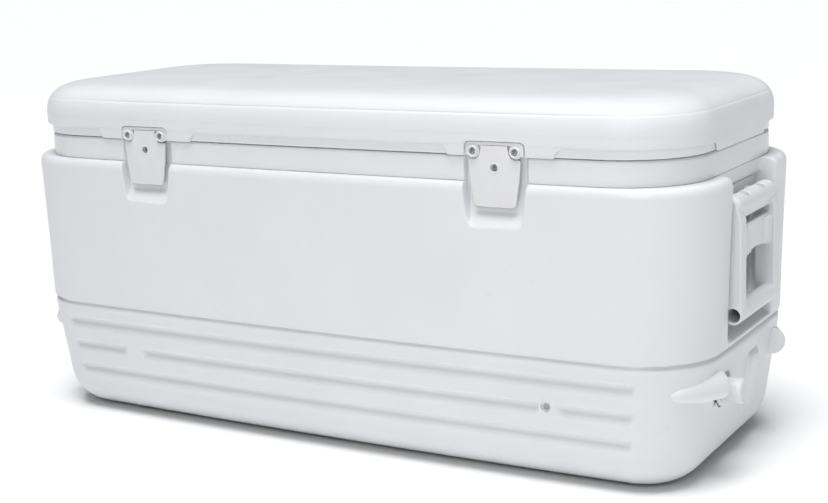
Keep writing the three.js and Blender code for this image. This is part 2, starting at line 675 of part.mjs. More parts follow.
for (const [name, x] of [['left', -LATCH.x], ['right', LATCH.x]]) {
  place(`latch_${name}_frame`, latchFrame(x), 'trim');
  place(`latch_${name}_flap`, latchFlap(x), 'trim');
  place(`latch_${name}_keeper`, latchKeeper(x), 'trim');
  latchScrewPlaces().filter(([owner]) => owner === name).forEach(([, screwX], k) => {
    place(`latch_${name}_screw_${k + 1}`, screw('y', [screwX, -202.2, EAR.z], 3.4, -1, 6), 'steel');
  });
  place(`latch_${name}_keeper_screw`, screw('y', [x, FLAP.back + 2.1, FLAP.postZ], 3.2, -1, 5), 'steel');
}

for (const [name, turn, side] of [['right', 0, 1], ['left', Math.PI, -1]]) {
  const end = new THREE.Group();
  end.rotation.z = turn;
  cooler.add(end);
  place(`handle_${name}_bracket`, handleBracket(), 'trim', end);
  place(`handle_${name}_grip`, handleGrip(), 'trim', end);
  place(`handle_${name}_pin`, rodY(HANDLE.pivotX, HANDLE.pivotZ, 3, -54, 54, 14), 'steel', end);
  bracketScrewPlaces().filter(([owner]) => owner === side).forEach(([, y, z], k) => {
    const headX = RECESS.seatX + GAP + BRACKET.thickness + GAP;
    place(`handle_${name}_screw_${k + 1}`, screw('x', [headX, y, z], 4, 1, 7), 'steel', end);
  });
}

place('drain_fitting', drainFitting(), 'trim');
place('drain_seal', tubeX(
  DRAIN.flange - 1, DRAIN.tube + 0.5, DRAIN.seatX + GAP, DRAIN.seatX + 2.3), 'rubber');
place('drain_nut', tubeX(15, DRAIN.tube + GAP, DRAIN.nutX, DRAIN.nutX + 6, 6), 'trim');
place('drain_cap', drainCap(), 'trim');
place('drain_cap_washer', tubeX(DRAIN.tube - 0.4, DRAIN.bore, 497.3, 499.3), 'rubber');
place('foam_plug_left', portPlug(PORT.leftX, -191.5), 'trim');
place('foam_plug_right', portPlug(PORT.rightX, -190.5), 'trim');

// The origin is the middle of the whole object's footprint, on the ground.
const bounds = new THREE.Box3().setFromObject(cooler);
const centre = bounds.getCenter(new THREE.Vector3());
cooler.position.set(-centre.x, -centre.y, -bounds.min.z);

export default cooler;
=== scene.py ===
import math

import bmesh
import bpy
import numpy as np
from mathutils import Matrix, Vector


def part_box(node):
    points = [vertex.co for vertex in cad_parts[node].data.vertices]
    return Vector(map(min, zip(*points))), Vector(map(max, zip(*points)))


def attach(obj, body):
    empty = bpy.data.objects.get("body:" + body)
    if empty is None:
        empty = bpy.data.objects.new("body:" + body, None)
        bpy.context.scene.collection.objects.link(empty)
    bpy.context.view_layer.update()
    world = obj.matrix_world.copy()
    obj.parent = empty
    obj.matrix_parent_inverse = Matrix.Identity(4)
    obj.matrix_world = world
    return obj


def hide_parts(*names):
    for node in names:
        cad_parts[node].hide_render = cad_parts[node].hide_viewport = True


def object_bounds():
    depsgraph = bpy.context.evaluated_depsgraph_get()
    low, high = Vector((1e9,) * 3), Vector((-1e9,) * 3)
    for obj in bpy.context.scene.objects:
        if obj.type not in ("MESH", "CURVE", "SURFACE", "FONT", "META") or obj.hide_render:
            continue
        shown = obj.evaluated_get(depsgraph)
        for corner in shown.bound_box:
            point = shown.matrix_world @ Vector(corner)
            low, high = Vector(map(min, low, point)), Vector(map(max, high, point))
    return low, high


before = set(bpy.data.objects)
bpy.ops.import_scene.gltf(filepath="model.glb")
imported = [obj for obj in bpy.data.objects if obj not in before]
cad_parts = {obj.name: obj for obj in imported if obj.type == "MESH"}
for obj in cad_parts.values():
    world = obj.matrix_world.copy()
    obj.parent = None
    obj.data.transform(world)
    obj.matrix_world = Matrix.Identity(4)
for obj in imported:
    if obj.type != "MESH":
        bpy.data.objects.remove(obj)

# Shapes are written in the CAD source's millimetres, whose x origin lies beside the frame's.
CAD_BOX = [list(corner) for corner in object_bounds()]
MM = 0.001
CAP_END = 504.0
SHIFT = CAD_BOX[1][0] / MM - CAP_END

BOW = 6.0
SHELL = dict(half=491, front=204, back=208, corner=100, shrink=1.0)
RIM = dict(half=470, front=196, back=200, corner=98)
LID = dict(half=475, front=201, back=204.5, corner=99)
TUB = dict(half=444, front=172, back=175, corner=68)
PLUG = dict(half=437, front=165, back=168, corner=62)
FIXED_X, FIXED_Y = 425.0, 92.0  # columns inside these stay put on every level
LATCH_X = 252.0
HINGE_XS = (-300.0, 0.0, 300.0)
SIDES = (("left", -1), ("right", 1))
DRAIN = (0, -75.0, 107.0)


# ---------------------------------------------------------------- small maths
def ease(t):
    t = np.clip(t, 0.0, 1.0)
    return t * t * (3 - 2 * t)


def curve_through(points, steps):
    """Catmull-Rom points through a list of pairs."""
    p = np.array(points, float)
    p = np.vstack([2 * p[0] - p[1], p, 2 * p[-1] - p[-2]])
    out = []
    for i in range(1, len(p) - 2):
        a, b, c, d = p[i - 1:i + 3]
        for k in range(steps):
            t = k / steps
            out.append(0.5 * (2 * b + (c - a) * t + (2 * a - 5 * b + 4 * c - d) * t ** 2
                              + (3 * b - a - 3 * c + d) * t ** 3))
    out.append(p[-2])
    return np.array(out)


def step_curve(depth, outer, draft, inner, steps=4):
    """(distance across, share of the depth) from the open face, over a fillet, down a wall, to the floor."""
    rows = [(outer * math.sin(a), outer * (1 - math.cos(a)))
            for a in np.linspace(0, math.pi / 2, steps + 1)]
    rows += [(outer + draft * t, outer + (depth - outer - inner) * t) for t in (0.33, 0.67)]
    rows += [(outer + draft + inner * (1 - math.cos(a)), depth - inner + inner * math.sin(a))
             for a in np.linspace(0, math.pi / 2, steps + 1)]
    table = np.array(rows)
    table[:, 1] /= depth
    return table


def spread(low, high, step, *specials):
    """Columns from low to high about step apart, giving way to sets of special columns."""
    base = np.linspace(low, high, int(round((high - low) / step)) + 1)
    for special in specials:
        gap = 0.6 * min(step, (special.max() - special.min()) / len(special) + 0.5)
        base = base[(base < special.min() - gap) | (base > special.max() + gap)]
    return np.unique(np.concatenate([base, *specials]))


# ---------------------------------------------------------------- mesh helpers
def finish_piece(obj, material, body, slot, *nodes):
    obj.data.materials.clear()
    obj.data.materials.append(material)
    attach(obj, body)
    if nodes:
        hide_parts(*nodes)


def link(name, mesh):
    obj = bpy.data.objects.new(name, mesh)
    bpy.context.scene.collection.objects.link(obj)
    return obj


def tidy_mesh(mesh, sharp):
    bm = bmesh.new()
    bm.from_mesh(mesh)
    bmesh.ops.remove_doubles(bm, verts=bm.verts, dist=1e-6)
    bmesh.ops.dissolve_degenerate(bm, edges=bm.edges, dist=1e-7)
    bmesh.ops.recalc_face_normals(bm, faces=bm.faces)
    bm.to_mesh(mesh)
    bm.free()
    mesh.shade_smooth()
    mesh.set_sharp_from_angle(angle=math.radians(sharp))


def mesh_of(name, points, faces, sharp=40):
    """Mesh in metres in the frame, from points in the source's millimetres."""
    coords = np.asarray(points, float).reshape(-1, 3) + (SHIFT, 0, 0)
    mesh = bpy.data.meshes.new(name)
    mesh.from_pydata((coords * MM).tolist(), [], faces)
    tidy_mesh(mesh, sharp)
    return mesh


def skin(rings, cap_start=False, cap_end=False):
    """Points and faces of closed rings stacked one after another."""
    rings = np.asarray(rings, float)
    levels, count = rings.shape[:2]
    faces = []
    for s in range(levels - 1):
        a = s * count
        faces += [(a + i, a + (i + 1) % count, a + count + (i + 1) % count, a + count + i)
                  for i in range(count)]
    if cap_start:
        faces.append(tuple(range(count - 1, -1, -1)))
    if cap_end:
        faces.append(tuple(range((levels - 1) * count, levels * count)))
    return rings.reshape(-1, 3), faces


AXES = {"x": (1, 2, 0), "y": (2, 0, 1), "z": (0, 1, 2)}


def lathe(axis, centre, profile, count=48, shape=None):
    """Rings of (radius, distance along the axis) round a line through centre; shape bends each radius."""
    angle = np.linspace(0, 2 * math.pi, count, endpoint=False)
    rings = []
    for radius, along in profile:
        local = np.zeros((count, 3))
        r = np.full(count, float(radius)) if shape is None else shape(radius, along, angle)
        u, v, w = AXES[axis]
        local[:, u], local[:, v], local[:, w] = r * np.cos(angle), r * np.sin(angle), along
        rings.append(local + np.array(centre))
    return skin(rings, cap_start=profile[0][0] > 0.01, cap_end=profile[-1][0] > 0.01)


def join(*parts):
    points, faces, offset = [], [], 0
    for p, f in parts:
        points.append(np.asarray(p, float).reshape(-1, 3))
        faces += [tuple(i + offset for i in face) for face in f]
        offset += len(points[-1])
    return np.vstack(points), faces


def piece(name, parts, material, body, slot, *nodes, sharp=40):
    points, faces = join(*parts)
    finish_piece(link(name, mesh_of(name, points, faces, sharp)), material, body, slot, *nodes)


# ---------------------------------------------------------------- plan outlines
class Plan:
    """Columns of a rounded-rectangle outline, the same on every level."""

    def __init__(self, front, end, back, arc=26):
        self.front, self.end, self.back, self.arc = front, end, back, arc
        n = [len(front), arc, len(end), arc, len(back), arc, len(end), arc]
        marks = np.cumsum([0] + n)
        names = ["front", "front_right", "right", "back_right", "back", "back_left", "left", "front_left"]
        self.part = {name: slice(marks[i], marks[i + 1]) for i, name in enumerate(names)}

    def ring(self, size, inset, front=None):
        """(points, cornerness): outline of a size inset by some millimetres."""
        r = max(12.0, size["corner"] - size.get("shrink", 0.6) * inset)
        cx = size["half"] - inset - r
        f, b = size["front"] - inset, size["back"] - inset
        fit_x = min(1.0, (cx + 0.55 * r) / FIXED_X)
        fit_y = min(1.0, (min(f, b) - r + 0.55 * r) / FIXED_Y)
        xs = (self.front if front is None else front) * fit_x
        ys, bx = self.end * fit_y, self.back * fit_x

        def bulge(along, straight):
            over = np.clip(np.abs(along) - straight, 0, r)
            return np.sqrt(r * r - over * over)

        bow = BOW * np.clip(1 - (xs / cx) ** 2, 0, 1)
        front_side = np.stack([xs, -(f - r + bulge(xs, cx) + bow)], 1)
        straight_y = np.where(ys < 0, f - r, b - r)
        right = np.stack([cx + bulge(ys, straight_y), ys], 1)
        back = np.stack([bx, b - r + bulge(bx, cx)], 1)

        def corner(cy, limit_x, limit_y):
            start = math.asin(np.clip((limit_x - cx) / r, 0, 1))
            stop = math.acos(np.clip((limit_y - cy) / r, 0, 1))
            a = start + (stop - start) * np.arange(1, self.arc + 1) / (self.arc + 1)
            return np.stack([cx + r * np.sin(a), cy + r * np.cos(a)], 1), np.sin(2 * a)

        fr, edge = corner(f - r, xs[-1], -ys[0])
        br, edge_back = corner(b - r, bx[-1], ys[-1])
        mirror = np.array([-1, 1])
        flip = np.array([1, -1])
        points = np.vstack([
            front_side, fr * flip, right, br[::-1], back[::-1], br * mirror,
            right[::-1] * mirror, fr[::-1] * mirror * flip])
        zero = np.zeros
        corners = np.concatenate([
            zero(len(xs)), edge, zero(len(ys)), edge_back[::-1], zero(len(bx)), edge_back,
            zero(len(ys)), edge[::-1]])
        return points, corners


def raised(points, z):
    z = np.broadcast_to(z, len(points)).astype(float)
    return np.column_stack([points, z])


def shrink(ring, share, z):
    out = ring.copy()
    out[:, :2] *= share
    out[:, 2] = z
    return out


# ---------------------------------------------------------------- materials
def nodes_of(name):
    """(material, tree, shader, object coordinates) of a new material."""
    material = bpy.data.materials.new(name)
    material.use_nodes = True
    tree = material.node_tree
    tree.nodes.clear()
    shader = tree.nodes.new("ShaderNodeBsdfPrincipled")
    output = tree.nodes.new("ShaderNodeOutputMaterial")
    tree.links.new(shader.outputs["BSDF"], output.inputs["Surface"])
    return material, tree, shader, tree.nodes.new("ShaderNodeTexCoord").outputs["Object"]


def noise(tree, coords, scale, detail=3.0, roughness=0.55):
    node = tree.nodes.new("ShaderNodeTexNoise")
    node.inputs["Scale"].default_value = scale
    node.inputs["Detail"].default_value = detail
    node.inputs["Roughness"].default_value = roughness
    tree.links.new(coords, node.inputs["Vector"])
    return node.outputs["Fac"]


def ramp(tree, value, stops):
    node = tree.nodes.new("ShaderNodeValToRGB")
    elements = node.color_ramp.elements
    while len(elements) < len(stops):
        elements.new(0.5)
    for element, (position, colour) in zip(elements, stops):
        element.position = position
        element.color = (*colour, 1)
    tree.links.new(value, node.inputs["Fac"])
    return node.outputs["Color"]


def bump(tree, heights, shader):
    """Chains (height, strength, distance in metres) layers into the shader's normal."""
    normal = None
    for height, strength, distance in heights:
        node = tree.nodes.new("ShaderNodeBump")
        node.inputs["Strength"].default_value = strength
        node.inputs["Distance"].default_value = distance
        tree.links.new(height, node.inputs["Height"])
        if normal is not None:
            tree.links.new(normal, node.inputs["Normal"])
        normal = node.outputs["Normal"]
    tree.links.new(normal, shader.inputs["Normal"])


def grey(value, tint=(1, 1, 1)):
    return tuple(value * t for t in tint)


def moulded_plastic(name, colour, rough, grain, scuff=0.0):
    """Satin moulded polymer: cloudy colour, fine grain, faint sink marks and a gloss that varies."""
    material, tree, shader, place = nodes_of(name)
    cloud = noise(tree, place, 7.0, 4.0)
    dark = tuple(0.965 * c for c in colour)
    base = ramp(tree, cloud, [(0.32, dark), (0.68, colour)])
    if scuff:
        marks = noise(tree, place, 55.0, 8.0, 0.72)
        mask = ramp(tree, marks, [(0.60, (0, 0, 0)), (0.74, (scuff, scuff, scuff))])
        mix = tree.nodes.new("ShaderNodeMix")
        mix.data_type = "RGBA"
        mix.inputs["B"].default_value = (*[0.80 * c for c in colour], 1)
        tree.links.new(mask, mix.inputs["Factor"])
        tree.links.new(base, mix.inputs["A"])
        base = mix.outputs["Result"]
    tree.links.new(base, shader.inputs["Base Color"])
    patches = noise(tree, place, 16.0, 5.0)
    gloss = ramp(tree, patches, [(0.3, grey(rough - 0.04)), (0.7, grey(rough + 0.05))])
    tree.links.new(gloss, shader.inputs["Roughness"])
    shader.inputs["IOR"].default_value = 1.49
    fine = noise(tree, place, 2400.0, 2.0)
    sink = noise(tree, place, 9.0, 2.0)
    bump(tree, [(sink, 0.25, 0.0022), (fine, grain, 0.00004)], shader)
    return material


def brushed_steel(name, value):
    material, tree, shader, place = nodes_of(name)
    streaks = noise(tree, place, 900.0, 3.0)
    tree.links.new(ramp(tree, streaks, [(0.3, grey(value * 0.8)), (0.7, grey(value, (1, 1, 1.02)))]),
                   shader.inputs["Base Color"])
    tree.links.new(ramp(tree, streaks, [(0.3, grey(0.28)), (0.7, grey(0.42))]), shader.inputs["Roughness"])
    shader.inputs["Metallic"].default_value = 1.0
    bump(tree, [(streaks, 0.2, 0.00003)], shader)
    return material


def soft_rubber(name):
    material, tree, shader, place = nodes_of(name)
    dust = noise(tree, place, 300.0, 5.0)
    tree.links.new(ramp(tree, dust, [(0.35, grey(0.018)), (0.75, grey(0.035))]), shader.inputs["Base Color"])
    tree.links.new(ramp(tree, dust, [(0.3, grey(0.72)), (0.7, grey(0.88))]), shader.inputs["Roughness"])
    bump(tree, [(dust, 0.3, 0.00008)], shader)
    return material


def closed_foam(name):
    material, tree, shader, place = nodes_of(name)
    cells = tree.nodes.new("ShaderNodeTexVoronoi")
    cells.inputs["Scale"].default_value = 650.0
    tree.links.new(place, cells.inputs["Vector"])
    distance = cells.outputs["Distance"]
    tree.links.new(ramp(tree, distance, [(0.1, (0.62, 0.52, 0.31)), (0.8, (0.85, 0.77, 0.55))]),
                   shader.inputs["Base Color"])
    tree.links.new(ramp(tree, distance, [(0.1, grey(0.85)), (0.8, grey(0.97))]), shader.inputs["Roughness"])
    bump(tree, [(distance, 0.6, 0.0004)], shader)
    return material


WHITE_SHELL = moulded_plastic("white_shell_plastic", (0.775, 0.785, 0.812), 0.40, 0.35, scuff=0.25)
# Liner white: its own plastic tone, lifted by about 6 % with painted light that makes up for the shade the
# lid's overhang casts on the rim band.
WHITE_LINER_PAINTED_LIGHT = moulded_plastic("white_liner_plastic_painted_light", (0.800, 0.810, 0.830), 0.30, 0.12)
WHITE_TRIM = moulded_plastic("white_trim_plastic", (0.765, 0.765, 0.782), 0.42, 0.30, scuff=0.2)
STEEL = brushed_steel("stainless_steel", 0.42)
RUBBER = soft_rubber("black_rubber")
FOAM = closed_foam("insulating_foam")


# ---------------------------------------------------------------- body shell
RECESS_EDGE = step_curve(26, 5.5, 1.5, 4.0)
POCKET_EDGE = step_curve(10, 2.6, 1.6, 2.2)
NOTCH_EDGE = step_curve(6, 1.4, 0.5, 1.2, 3)
POCKET_START, POCKET_FLOOR, POCKET_SEAT, POCKET_FACE = 42.5, 303.0, 326.0, -194.5
LATCH_NOTCH_START, LATCH_NOTCH_TOP, LATCH_NOTCH_FACE = 39.2, 402.5, -199.0
HINGE_START, HINGE_FACE = 33.0, 198.5
RECESS_START = 86.5


def both_sides(centre, offsets):
    offsets = np.asarray(offsets)
    return np.sort(np.concatenate([centre - offsets, centre + offsets]))


def share_across(distance, start, table):
    """Share of the full depth at a distance from a recess's middle."""
    return np.interp(start - distance, table[:, 0], table[:, 1], left=0.0, right=1.0)


def shell_plan():
    pockets = [both_sides(side * LATCH_X, POCKET_START - POCKET_EDGE[:, 0]) for side in (-1, 1)]
    inside = [side * LATCH_X + np.arange(-30, 31, 5.0) for side in (-1, 1)]
    groove_ends = [side * np.arange(392, 424, 1.75)[::side] for side in (-1, 1)]
    ports = [np.arange(PORT_RIGHT - 9, PORT_RIGHT + 9.1, 0.9), np.arange(-328, -282, 2.0)]
    flanks = [PORT_RIGHT + 5 + side * np.arange(15, 27, 2.0)[::side] for side in (-1, 1)]
    front = spread(-FIXED_X, FIXED_X, 6.0, *[np.unique(np.concatenate(p)) for p in zip(pockets, inside)],
                   groove_ends[0], groove_ends[1], np.unique(np.concatenate([ports[0], *flanks])), ports[1])
    edges = both_sides(0, RECESS_START - RECESS_EDGE[:, 0])
    end = np.unique(np.concatenate([
        [-FIXED_Y, -89.5, 89.5, FIXED_Y], edges, np.arange(-74, -52, 1.6), np.arange(-51, 74, 2.5)]))
    back = np.linspace(-FIXED_X, FIXED_X, 90)
    return Plan(front, end, back, arc=30)


PORT_RIGHT, PORT_LEFT, PORT_Z = 307.0, -304.0, 96.5
SHELL_PLAN = shell_plan()


def pocket_half_width(z):
    """Half width of the latch pocket relative to its top, narrower and rounded at the bottom."""
    rise = np.clip(z - POCKET_FLOOR, 0, None)
    width = np.interp(z, [POCKET_FLOOR, 356], [32.5, 39.0])
    corner = 10.0
    left = np.clip(corner - rise, 0, corner)
    return (width - (corner - math.sqrt(corner ** 2 - left ** 2))) / 39.0


def slid(xs, centre, start, share):
    """Columns near a recess drawn towards its middle, fading out beside it."""
    offset = xs - centre
    distance = np.abs(offset)
    inside = distance * share
    reach = 45.0
    outside = distance - start * (1 - share) * np.clip(1 - (distance - start) / reach, 0, 1)
    return centre + np.sign(offset) * np.where(distance <= start, inside, outside)


FILLET, FILLET_INSET = 54.0, 74.0
SHELL_SIDE = np.array([
    [46.5, 20.5], [60, 18.6], [110, 11.6], [140, 7.4], [147.5, 6.4], [150, 6.5],
    [152.2, 7.1], [154.4, 8.2], [155.8, 9.0], [156.6, 8.8], [157.5, 7.2], [158.6, 5.7], [161, 5.1],
    [180, 4.4], [250, 3], [320, 0.9], [345, 0]])


def shell_levels():
    z = np.concatenate([
        np.arange(48, 141, 1.5),
        [143, 146, 148.5, 150.4, 151.8, 153, 154, 154.8, 155.5, 156.2, 156.7, 157.2, 157.8, 158.5, 159.3,
         160.3, 161.5, 163, 165, 167, 169], np.arange(171, 184, 1.5), np.arange(186, 296, 8.0),
        np.arange(297, 332, 1.4), [334, 335.5, 336.5, 337.3, 338.1, 339, 341, 344]])
    smooth_side = curve_through(SHELL_SIDE, 6)
    order = np.argsort(smooth_side[:, 0])
    inset = np.interp(z, smooth_side[order, 0], smooth_side[order, 1])
    rows = [(FILLET - FILLET * math.cos(a), FILLET_INSET - FILLET * math.sin(a))
            for a in np.radians(np.arange(0, 80, 4.0))]
    rows += list(zip(z, inset))
    rows += [(345 + 11 * math.sin(a), 8 * (1 - math.cos(a))) for a in np.radians(np.arange(0, 91, 9.0))]
    return rows


GROOVE_TOPS, GROOVE_DEPTH, GROOVE_HEIGHT = (137.5, 103.5, 69.5), 5.0, 22.0
GROOVE_LIP, GROOVE_SLOPE, GROOVE_END = 4.4, 15.5, 9.0
GROOVE_HALF, GROOVE_TAPER = 418.0, 0.11  # the lower grooves are a little shorter


def groove_depth(x, z):
    depth = np.zeros_like(x)
    for top in GROOVE_TOPS:
        bottom = top - GROOVE_HEIGHT
        if z > top or z < bottom:
            continue
        reach = GROOVE_HALF - (GROOVE_TOPS[0] - top) * GROOVE_TAPER
        across = (np.clip(1 - (top - z) / GROOVE_LIP, 0, 1) ** 2
                  + np.clip(1 - (z - bottom) / GROOVE_SLOPE, 0, 1) ** 2)
        along = np.clip(1 - (reach - np.abs(x)) / GROOVE_END, 0, 1) ** 2
        groove = GROOVE_DEPTH * ease(1 - np.sqrt(across + along))
        if top == GROOVE_TOPS[1]:  # flat pads round the two foam ports
            for centre, half in ((PORT_LEFT, 14.0), (PORT_RIGHT + 3, 12.0)):
                groove = groove * ease((np.abs(x - centre) - half + 2) / 8.0)
        depth = np.maximum(depth, groove)
    return depth


def port_dimple(x, z):
    """The round hollow the right foam plug sits in."""
    distance = np.hypot(x - PORT_RIGHT, z - PORT_Z)
    return 9.5 * ease((5.9 - distance) / 1.1)


def recess_x(z):
    """Where the end recess's floor stands, with its steps rounded."""
    corners = np.array([[140, 543], [164, 486], [176, 460], [299.5, 460], [300.5, 465], [337.6, 465],
                        [338.4, 470], [400, 470]], float)
    around = z + np.linspace(-1.6, 1.6, 9)
    return float(np.mean(np.interp(around, corners[:, 0], corners[:, 1])))


PAD_Y, PAD_HALF = 24, 23
DRAIN_SEAT_RADIUS, DRAIN_SEAT_FACE = 21.5, 473


def pad_out(y, z, outer, side):
    """How far the upright pad on the lower end wall stands out of it."""
    across = np.abs(y - side * PAD_Y)
    face = np.interp(z, [42, 58, 118, 124, 129, 136], [462, 477.5, 486, 485.6, 483.5, 478])
    face = face - 7 * ease((across - 14) / 7.0)
    out = face - outer
    return 0.5 * (out + np.sqrt(out ** 2 + 0.5)) * ease((PAD_HALF - across) / 2.5) * ease(out / 0.8)


def shell_ring(z, size, inset):
    """One level of the body shell with its grooves, pockets, end recesses, pads and drain seat."""
    plan = SHELL_PLAN
    share = pocket_half_width(z)
    relax = float(ease((POCKET_FLOOR - z) / 60.0))
    share = share + (1 - share) * relax
    xs = plan.front
    for side in (-1, 1):
        xs = slid(xs, side * LATCH_X, POCKET_START, share)
    points, corners = plan.ring(size, inset, xs)
    if 150 < z < 164:  # the step is cut deeper round the corners
        extra = 1.6 * math.exp(-((z - 155.8) / 1.8) ** 2)
        points = points - np.sign(points) * (extra * corners)[:, None] * 0.7
    front = plan.part["front"]
    x, y = points[front, 0], points[front, 1]
    inward = groove_depth(x, z)
    if abs(z - PORT_Z) < 7:
        inward = inward + port_dimple(x, z)
    if z > POCKET_FLOOR:
        face = np.interp(z, [POCKET_FLOOR, POCKET_SEAT - 4, POCKET_SEAT + 4], [-206.5, -196.2, POCKET_FACE])
        for side in (-1, 1):
            across = share_across(np.abs(plan.front - side * LATCH_X), POCKET_START, POCKET_EDGE)
            drop = face - y
            drop = 0.5 * (drop + np.sqrt(drop ** 2 + 0.6)) * float(ease((z - POCKET_FLOOR) / 3.0))
            inward = inward + across * drop
    points[front, 1] = y + inward
    for name in ("front_left", "front_right"):
        part = plan.part[name]
        points[part, 1] += groove_depth(points[part, 0], z)
    for name, sign in (("left", -1), ("right", 1)):
        part = plan.part[name]
        y = points[part, 1]
        outer = sign * points[part, 0]
        across = share_across(np.abs(y), RECESS_START, RECESS_EDGE)
        drop = outer - recess_x(z)
        drop = 0.5 * (drop + np.sqrt(drop ** 2 + 1.2)) * float(ease((z - 150) / 12.0))
        outer = outer - across * drop
        if 44 < z < 131:
            outer = outer + pad_out(y, z, outer, sign)
        if sign > 0:
            seat = ease((DRAIN_SEAT_RADIUS - np.hypot(y - DRAIN[1], z - DRAIN[2])) / 1.8)
            outer = outer - seat * np.clip(outer - DRAIN_SEAT_FACE, 0, None)
        points[part, 0] = sign * outer
    return raised(points, z)


def body_shell():
    rings = [shell_ring(z, SHELL, inset) for z, inset in shell_levels()]
    top = rings[-1]
    rim = shell_ring(356.0, RIM, 0.4)
    rings += [top + (rim - top) * t for t in (0.3, 0.65, 1.0)]
    rings.append(shell_ring(352.0, RIM, 3.0))
    foot = [raised(SHELL_PLAN.ring(SHELL, inset)[0], z)
            for z, inset in ((3.0, 86), (2.6, 83), (0.5, 80.5), (0.0, 78))]
    middle = [shrink(foot[0], share, 3.0) for share in (0.1, 0.4, 0.7)]
    piece("shell", [skin(middle + foot + rings, cap_start=True)], WHITE_SHELL, "root", "shell_plastic",
          "body_shell", sharp=50)


def corner_guard(name, side_x, side_y):
    """Bullet-shaped guard swelling out of a lower corner, with a square end towards the end wall."""
    tip, base, height, radius = np.array([450.0, 172.0]), np.array([483.0, 101.0]), 121.0, 16.8
    length = float(np.hypot(*(base - tip)))
    if side_x < 0:  # the guards of the far end stand a little prouder
        tip, base = tip + (1.8, 0), base + (1.8, 0)
    body = [(radius * math.sqrt(1 - (1 - t) ** 2.3) * (0.93 + 0.07 * t), length * t)
            for t in np.linspace(0.004, 0.96, 22) ** 1.6]
    edge = [(radius - 2.2 + 2.2 * math.cos(a), length - 2.2 + 2.2 * math.sin(a))
            for a in np.linspace(0, math.pi / 2, 5)]
    profile = body + edge + [(radius * 0.5, length - 0.4), (0.5, length - 0.4)]
    points, faces = lathe("z", (0, 0, 0), profile, 56)
    direction = Vector(((base - tip)[0] * side_x, (base - tip)[1] * side_y, 0)).normalized()
    turn = np.array(Vector((0, 0, 1)).rotation_difference(direction).to_matrix())
    points = np.asarray(points) @ turn.T + (side_x * tip[0], side_y * tip[1], height)
    piece(name, [(points, faces)], WHITE_SHELL, "root", "shell_plastic", sharp=45)


body_shell()
for x_name, x_side in SIDES:
    for y_name, y_side in (("front", -1), ("back", 1)):
        corner_guard(f"corner_guard_{y_name}_{x_name}", x_side, y_side)


# ---------------------------------------------------------------- rim, tub and lid
def hinge_columns():
    offsets = np.array([HINGE_START, 32.2, 31.4, 30.8, 30.0, 20, 10, 0])
    return [np.unique(both_sides(x, offsets)) for x in HINGE_XS]


def liner_plan():
    pockets = [both_sides(side * LATCH_X, POCKET_START - POCKET_EDGE[:, 0]) for side in (-1, 1)]
    front = spread(-FIXED_X, FIXED_X, 9.0, *pockets)
    back = spread(-FIXED_X, FIXED_X, 9.0, *hinge_columns())
    return Plan(front, np.linspace(-FIXED_Y, FIXED_Y, 26), back, arc=26)


LINER_PLAN = liner_plan()


def liner_ring(size, inset, z, outside):
    points, _ = LINER_PLAN.ring(size, inset)
    if outside:
        front, back = LINER_PLAN.part["front"], LINER_PLAN.part["back"]
        x, y = points[front, 0], points[front, 1]
        for side in (-1, 1):
            across = share_across(np.abs(x - side * LATCH_X), POCKET_START, POCKET_EDGE)
            y = y + across * np.clip(POCKET_FACE - y, 0, None)
        points[front, 1] = y
        x, y = points[back, 0], points[back, 1]
        for hinge_x in HINGE_XS:
            across = np.clip((HINGE_START - np.abs(x - hinge_x)) / 2.4, 0, 1)
            y = y - ease(across) * np.clip(y - HINGE_FACE, 0, None)
        points[back, 1] = y
    return raised(points, z)


def body_liner():
    side = [(0.8, 357.0), (0.5, 356.4), (0.1, 358.5), (0.0, 364), (0.1, 374), (0.2, 381.8)]
    lip = [(3.4 - 3.2 * math.cos(a), 382.2 + 3.2 * math.sin(a)) for a in np.linspace(0, math.pi / 2, 6)]
    flange = [(6.5, 385.4), (8.2, 385.4), (8.8, 384.8), (9.2, 383.9), (13.6, 383.9), (14.0, 384.8),
              (14.6, 385.4), (17.0, 385.4)]
    rings = [liner_ring(RIM, inset, z, True) for inset, z in [(3.5, 353.0)] + side + lip + flange]
    mouth = [(-4.0 + 4.0 * math.sin(a), 381.4 + 4.0 * math.cos(a)) for a in np.linspace(0, math.pi / 2, 6)]
    walls = [(12 * t, 381.0 - (381.0 - 102.0) * t) for t in np.linspace(0.04, 1, 9)]
    fillet = [(12 + 13 * (1 - math.cos(a)), 102 - 13.2 * math.sin(a))
              for a in np.linspace(0.2, math.pi / 2, 7)]
    floor = [(40, 88.6), (44, 88.0), (70, 88.0)]
    rings += [liner_ring(TUB, inset, z, False) for inset, z in mouth + walls + fillet + floor]
    last = rings[-1]
    rings += [shrink(last, share, 88.0) for share in (0.6, 0.3, 0.08)]
    piece("liner", [skin(rings, cap_end=True)], WHITE_LINER_PAINTED_LIGHT, "root", "liner_plastic", "body_liner", sharp=50)


NOTCH_LOW, NOTCH_HIGH, NOTCH_RAMP = 385.8, 397.5, 14.0
NOTCH_LEFT, NOTCH_RIGHT, NOTCH_CORNER_X, NOTCH_CORNER_Y = -178.0, 192.0, 325.0, 84.0


def lid_plan():
    latches = [both_sides(side * LATCH_X, LATCH_NOTCH_START - NOTCH_EDGE[:, 0]) for side in (-1, 1)]
    inside = [side * LATCH_X + np.arange(-32, 33, 5.0) for side in (-1, 1)]
    ramps = [np.arange(NOTCH_LEFT - 1, NOTCH_LEFT + 11, 1.1),
             np.arange(NOTCH_RIGHT - 10, NOTCH_RIGHT + 2, 1.1)]
    corners = [side * np.arange(NOTCH_CORNER_X - 2, NOTCH_CORNER_X + 11, 1.1)[::side] for side in (-1, 1)]
    front = spread(-FIXED_X, FIXED_X, 7.0, *[np.unique(np.concatenate(p)) for p in zip(latches, inside)],
                   *ramps, *corners)
    back = spread(-FIXED_X, FIXED_X, 9.0, *hinge_columns(), *corners)
    end = spread(-FIXED_Y, FIXED_Y, 6.0, *[side * np.arange(82, 93, 1.1)[::side] for side in (-1, 1)])
    return Plan(front, end, back, arc=34)


LID_PLAN = lid_plan()


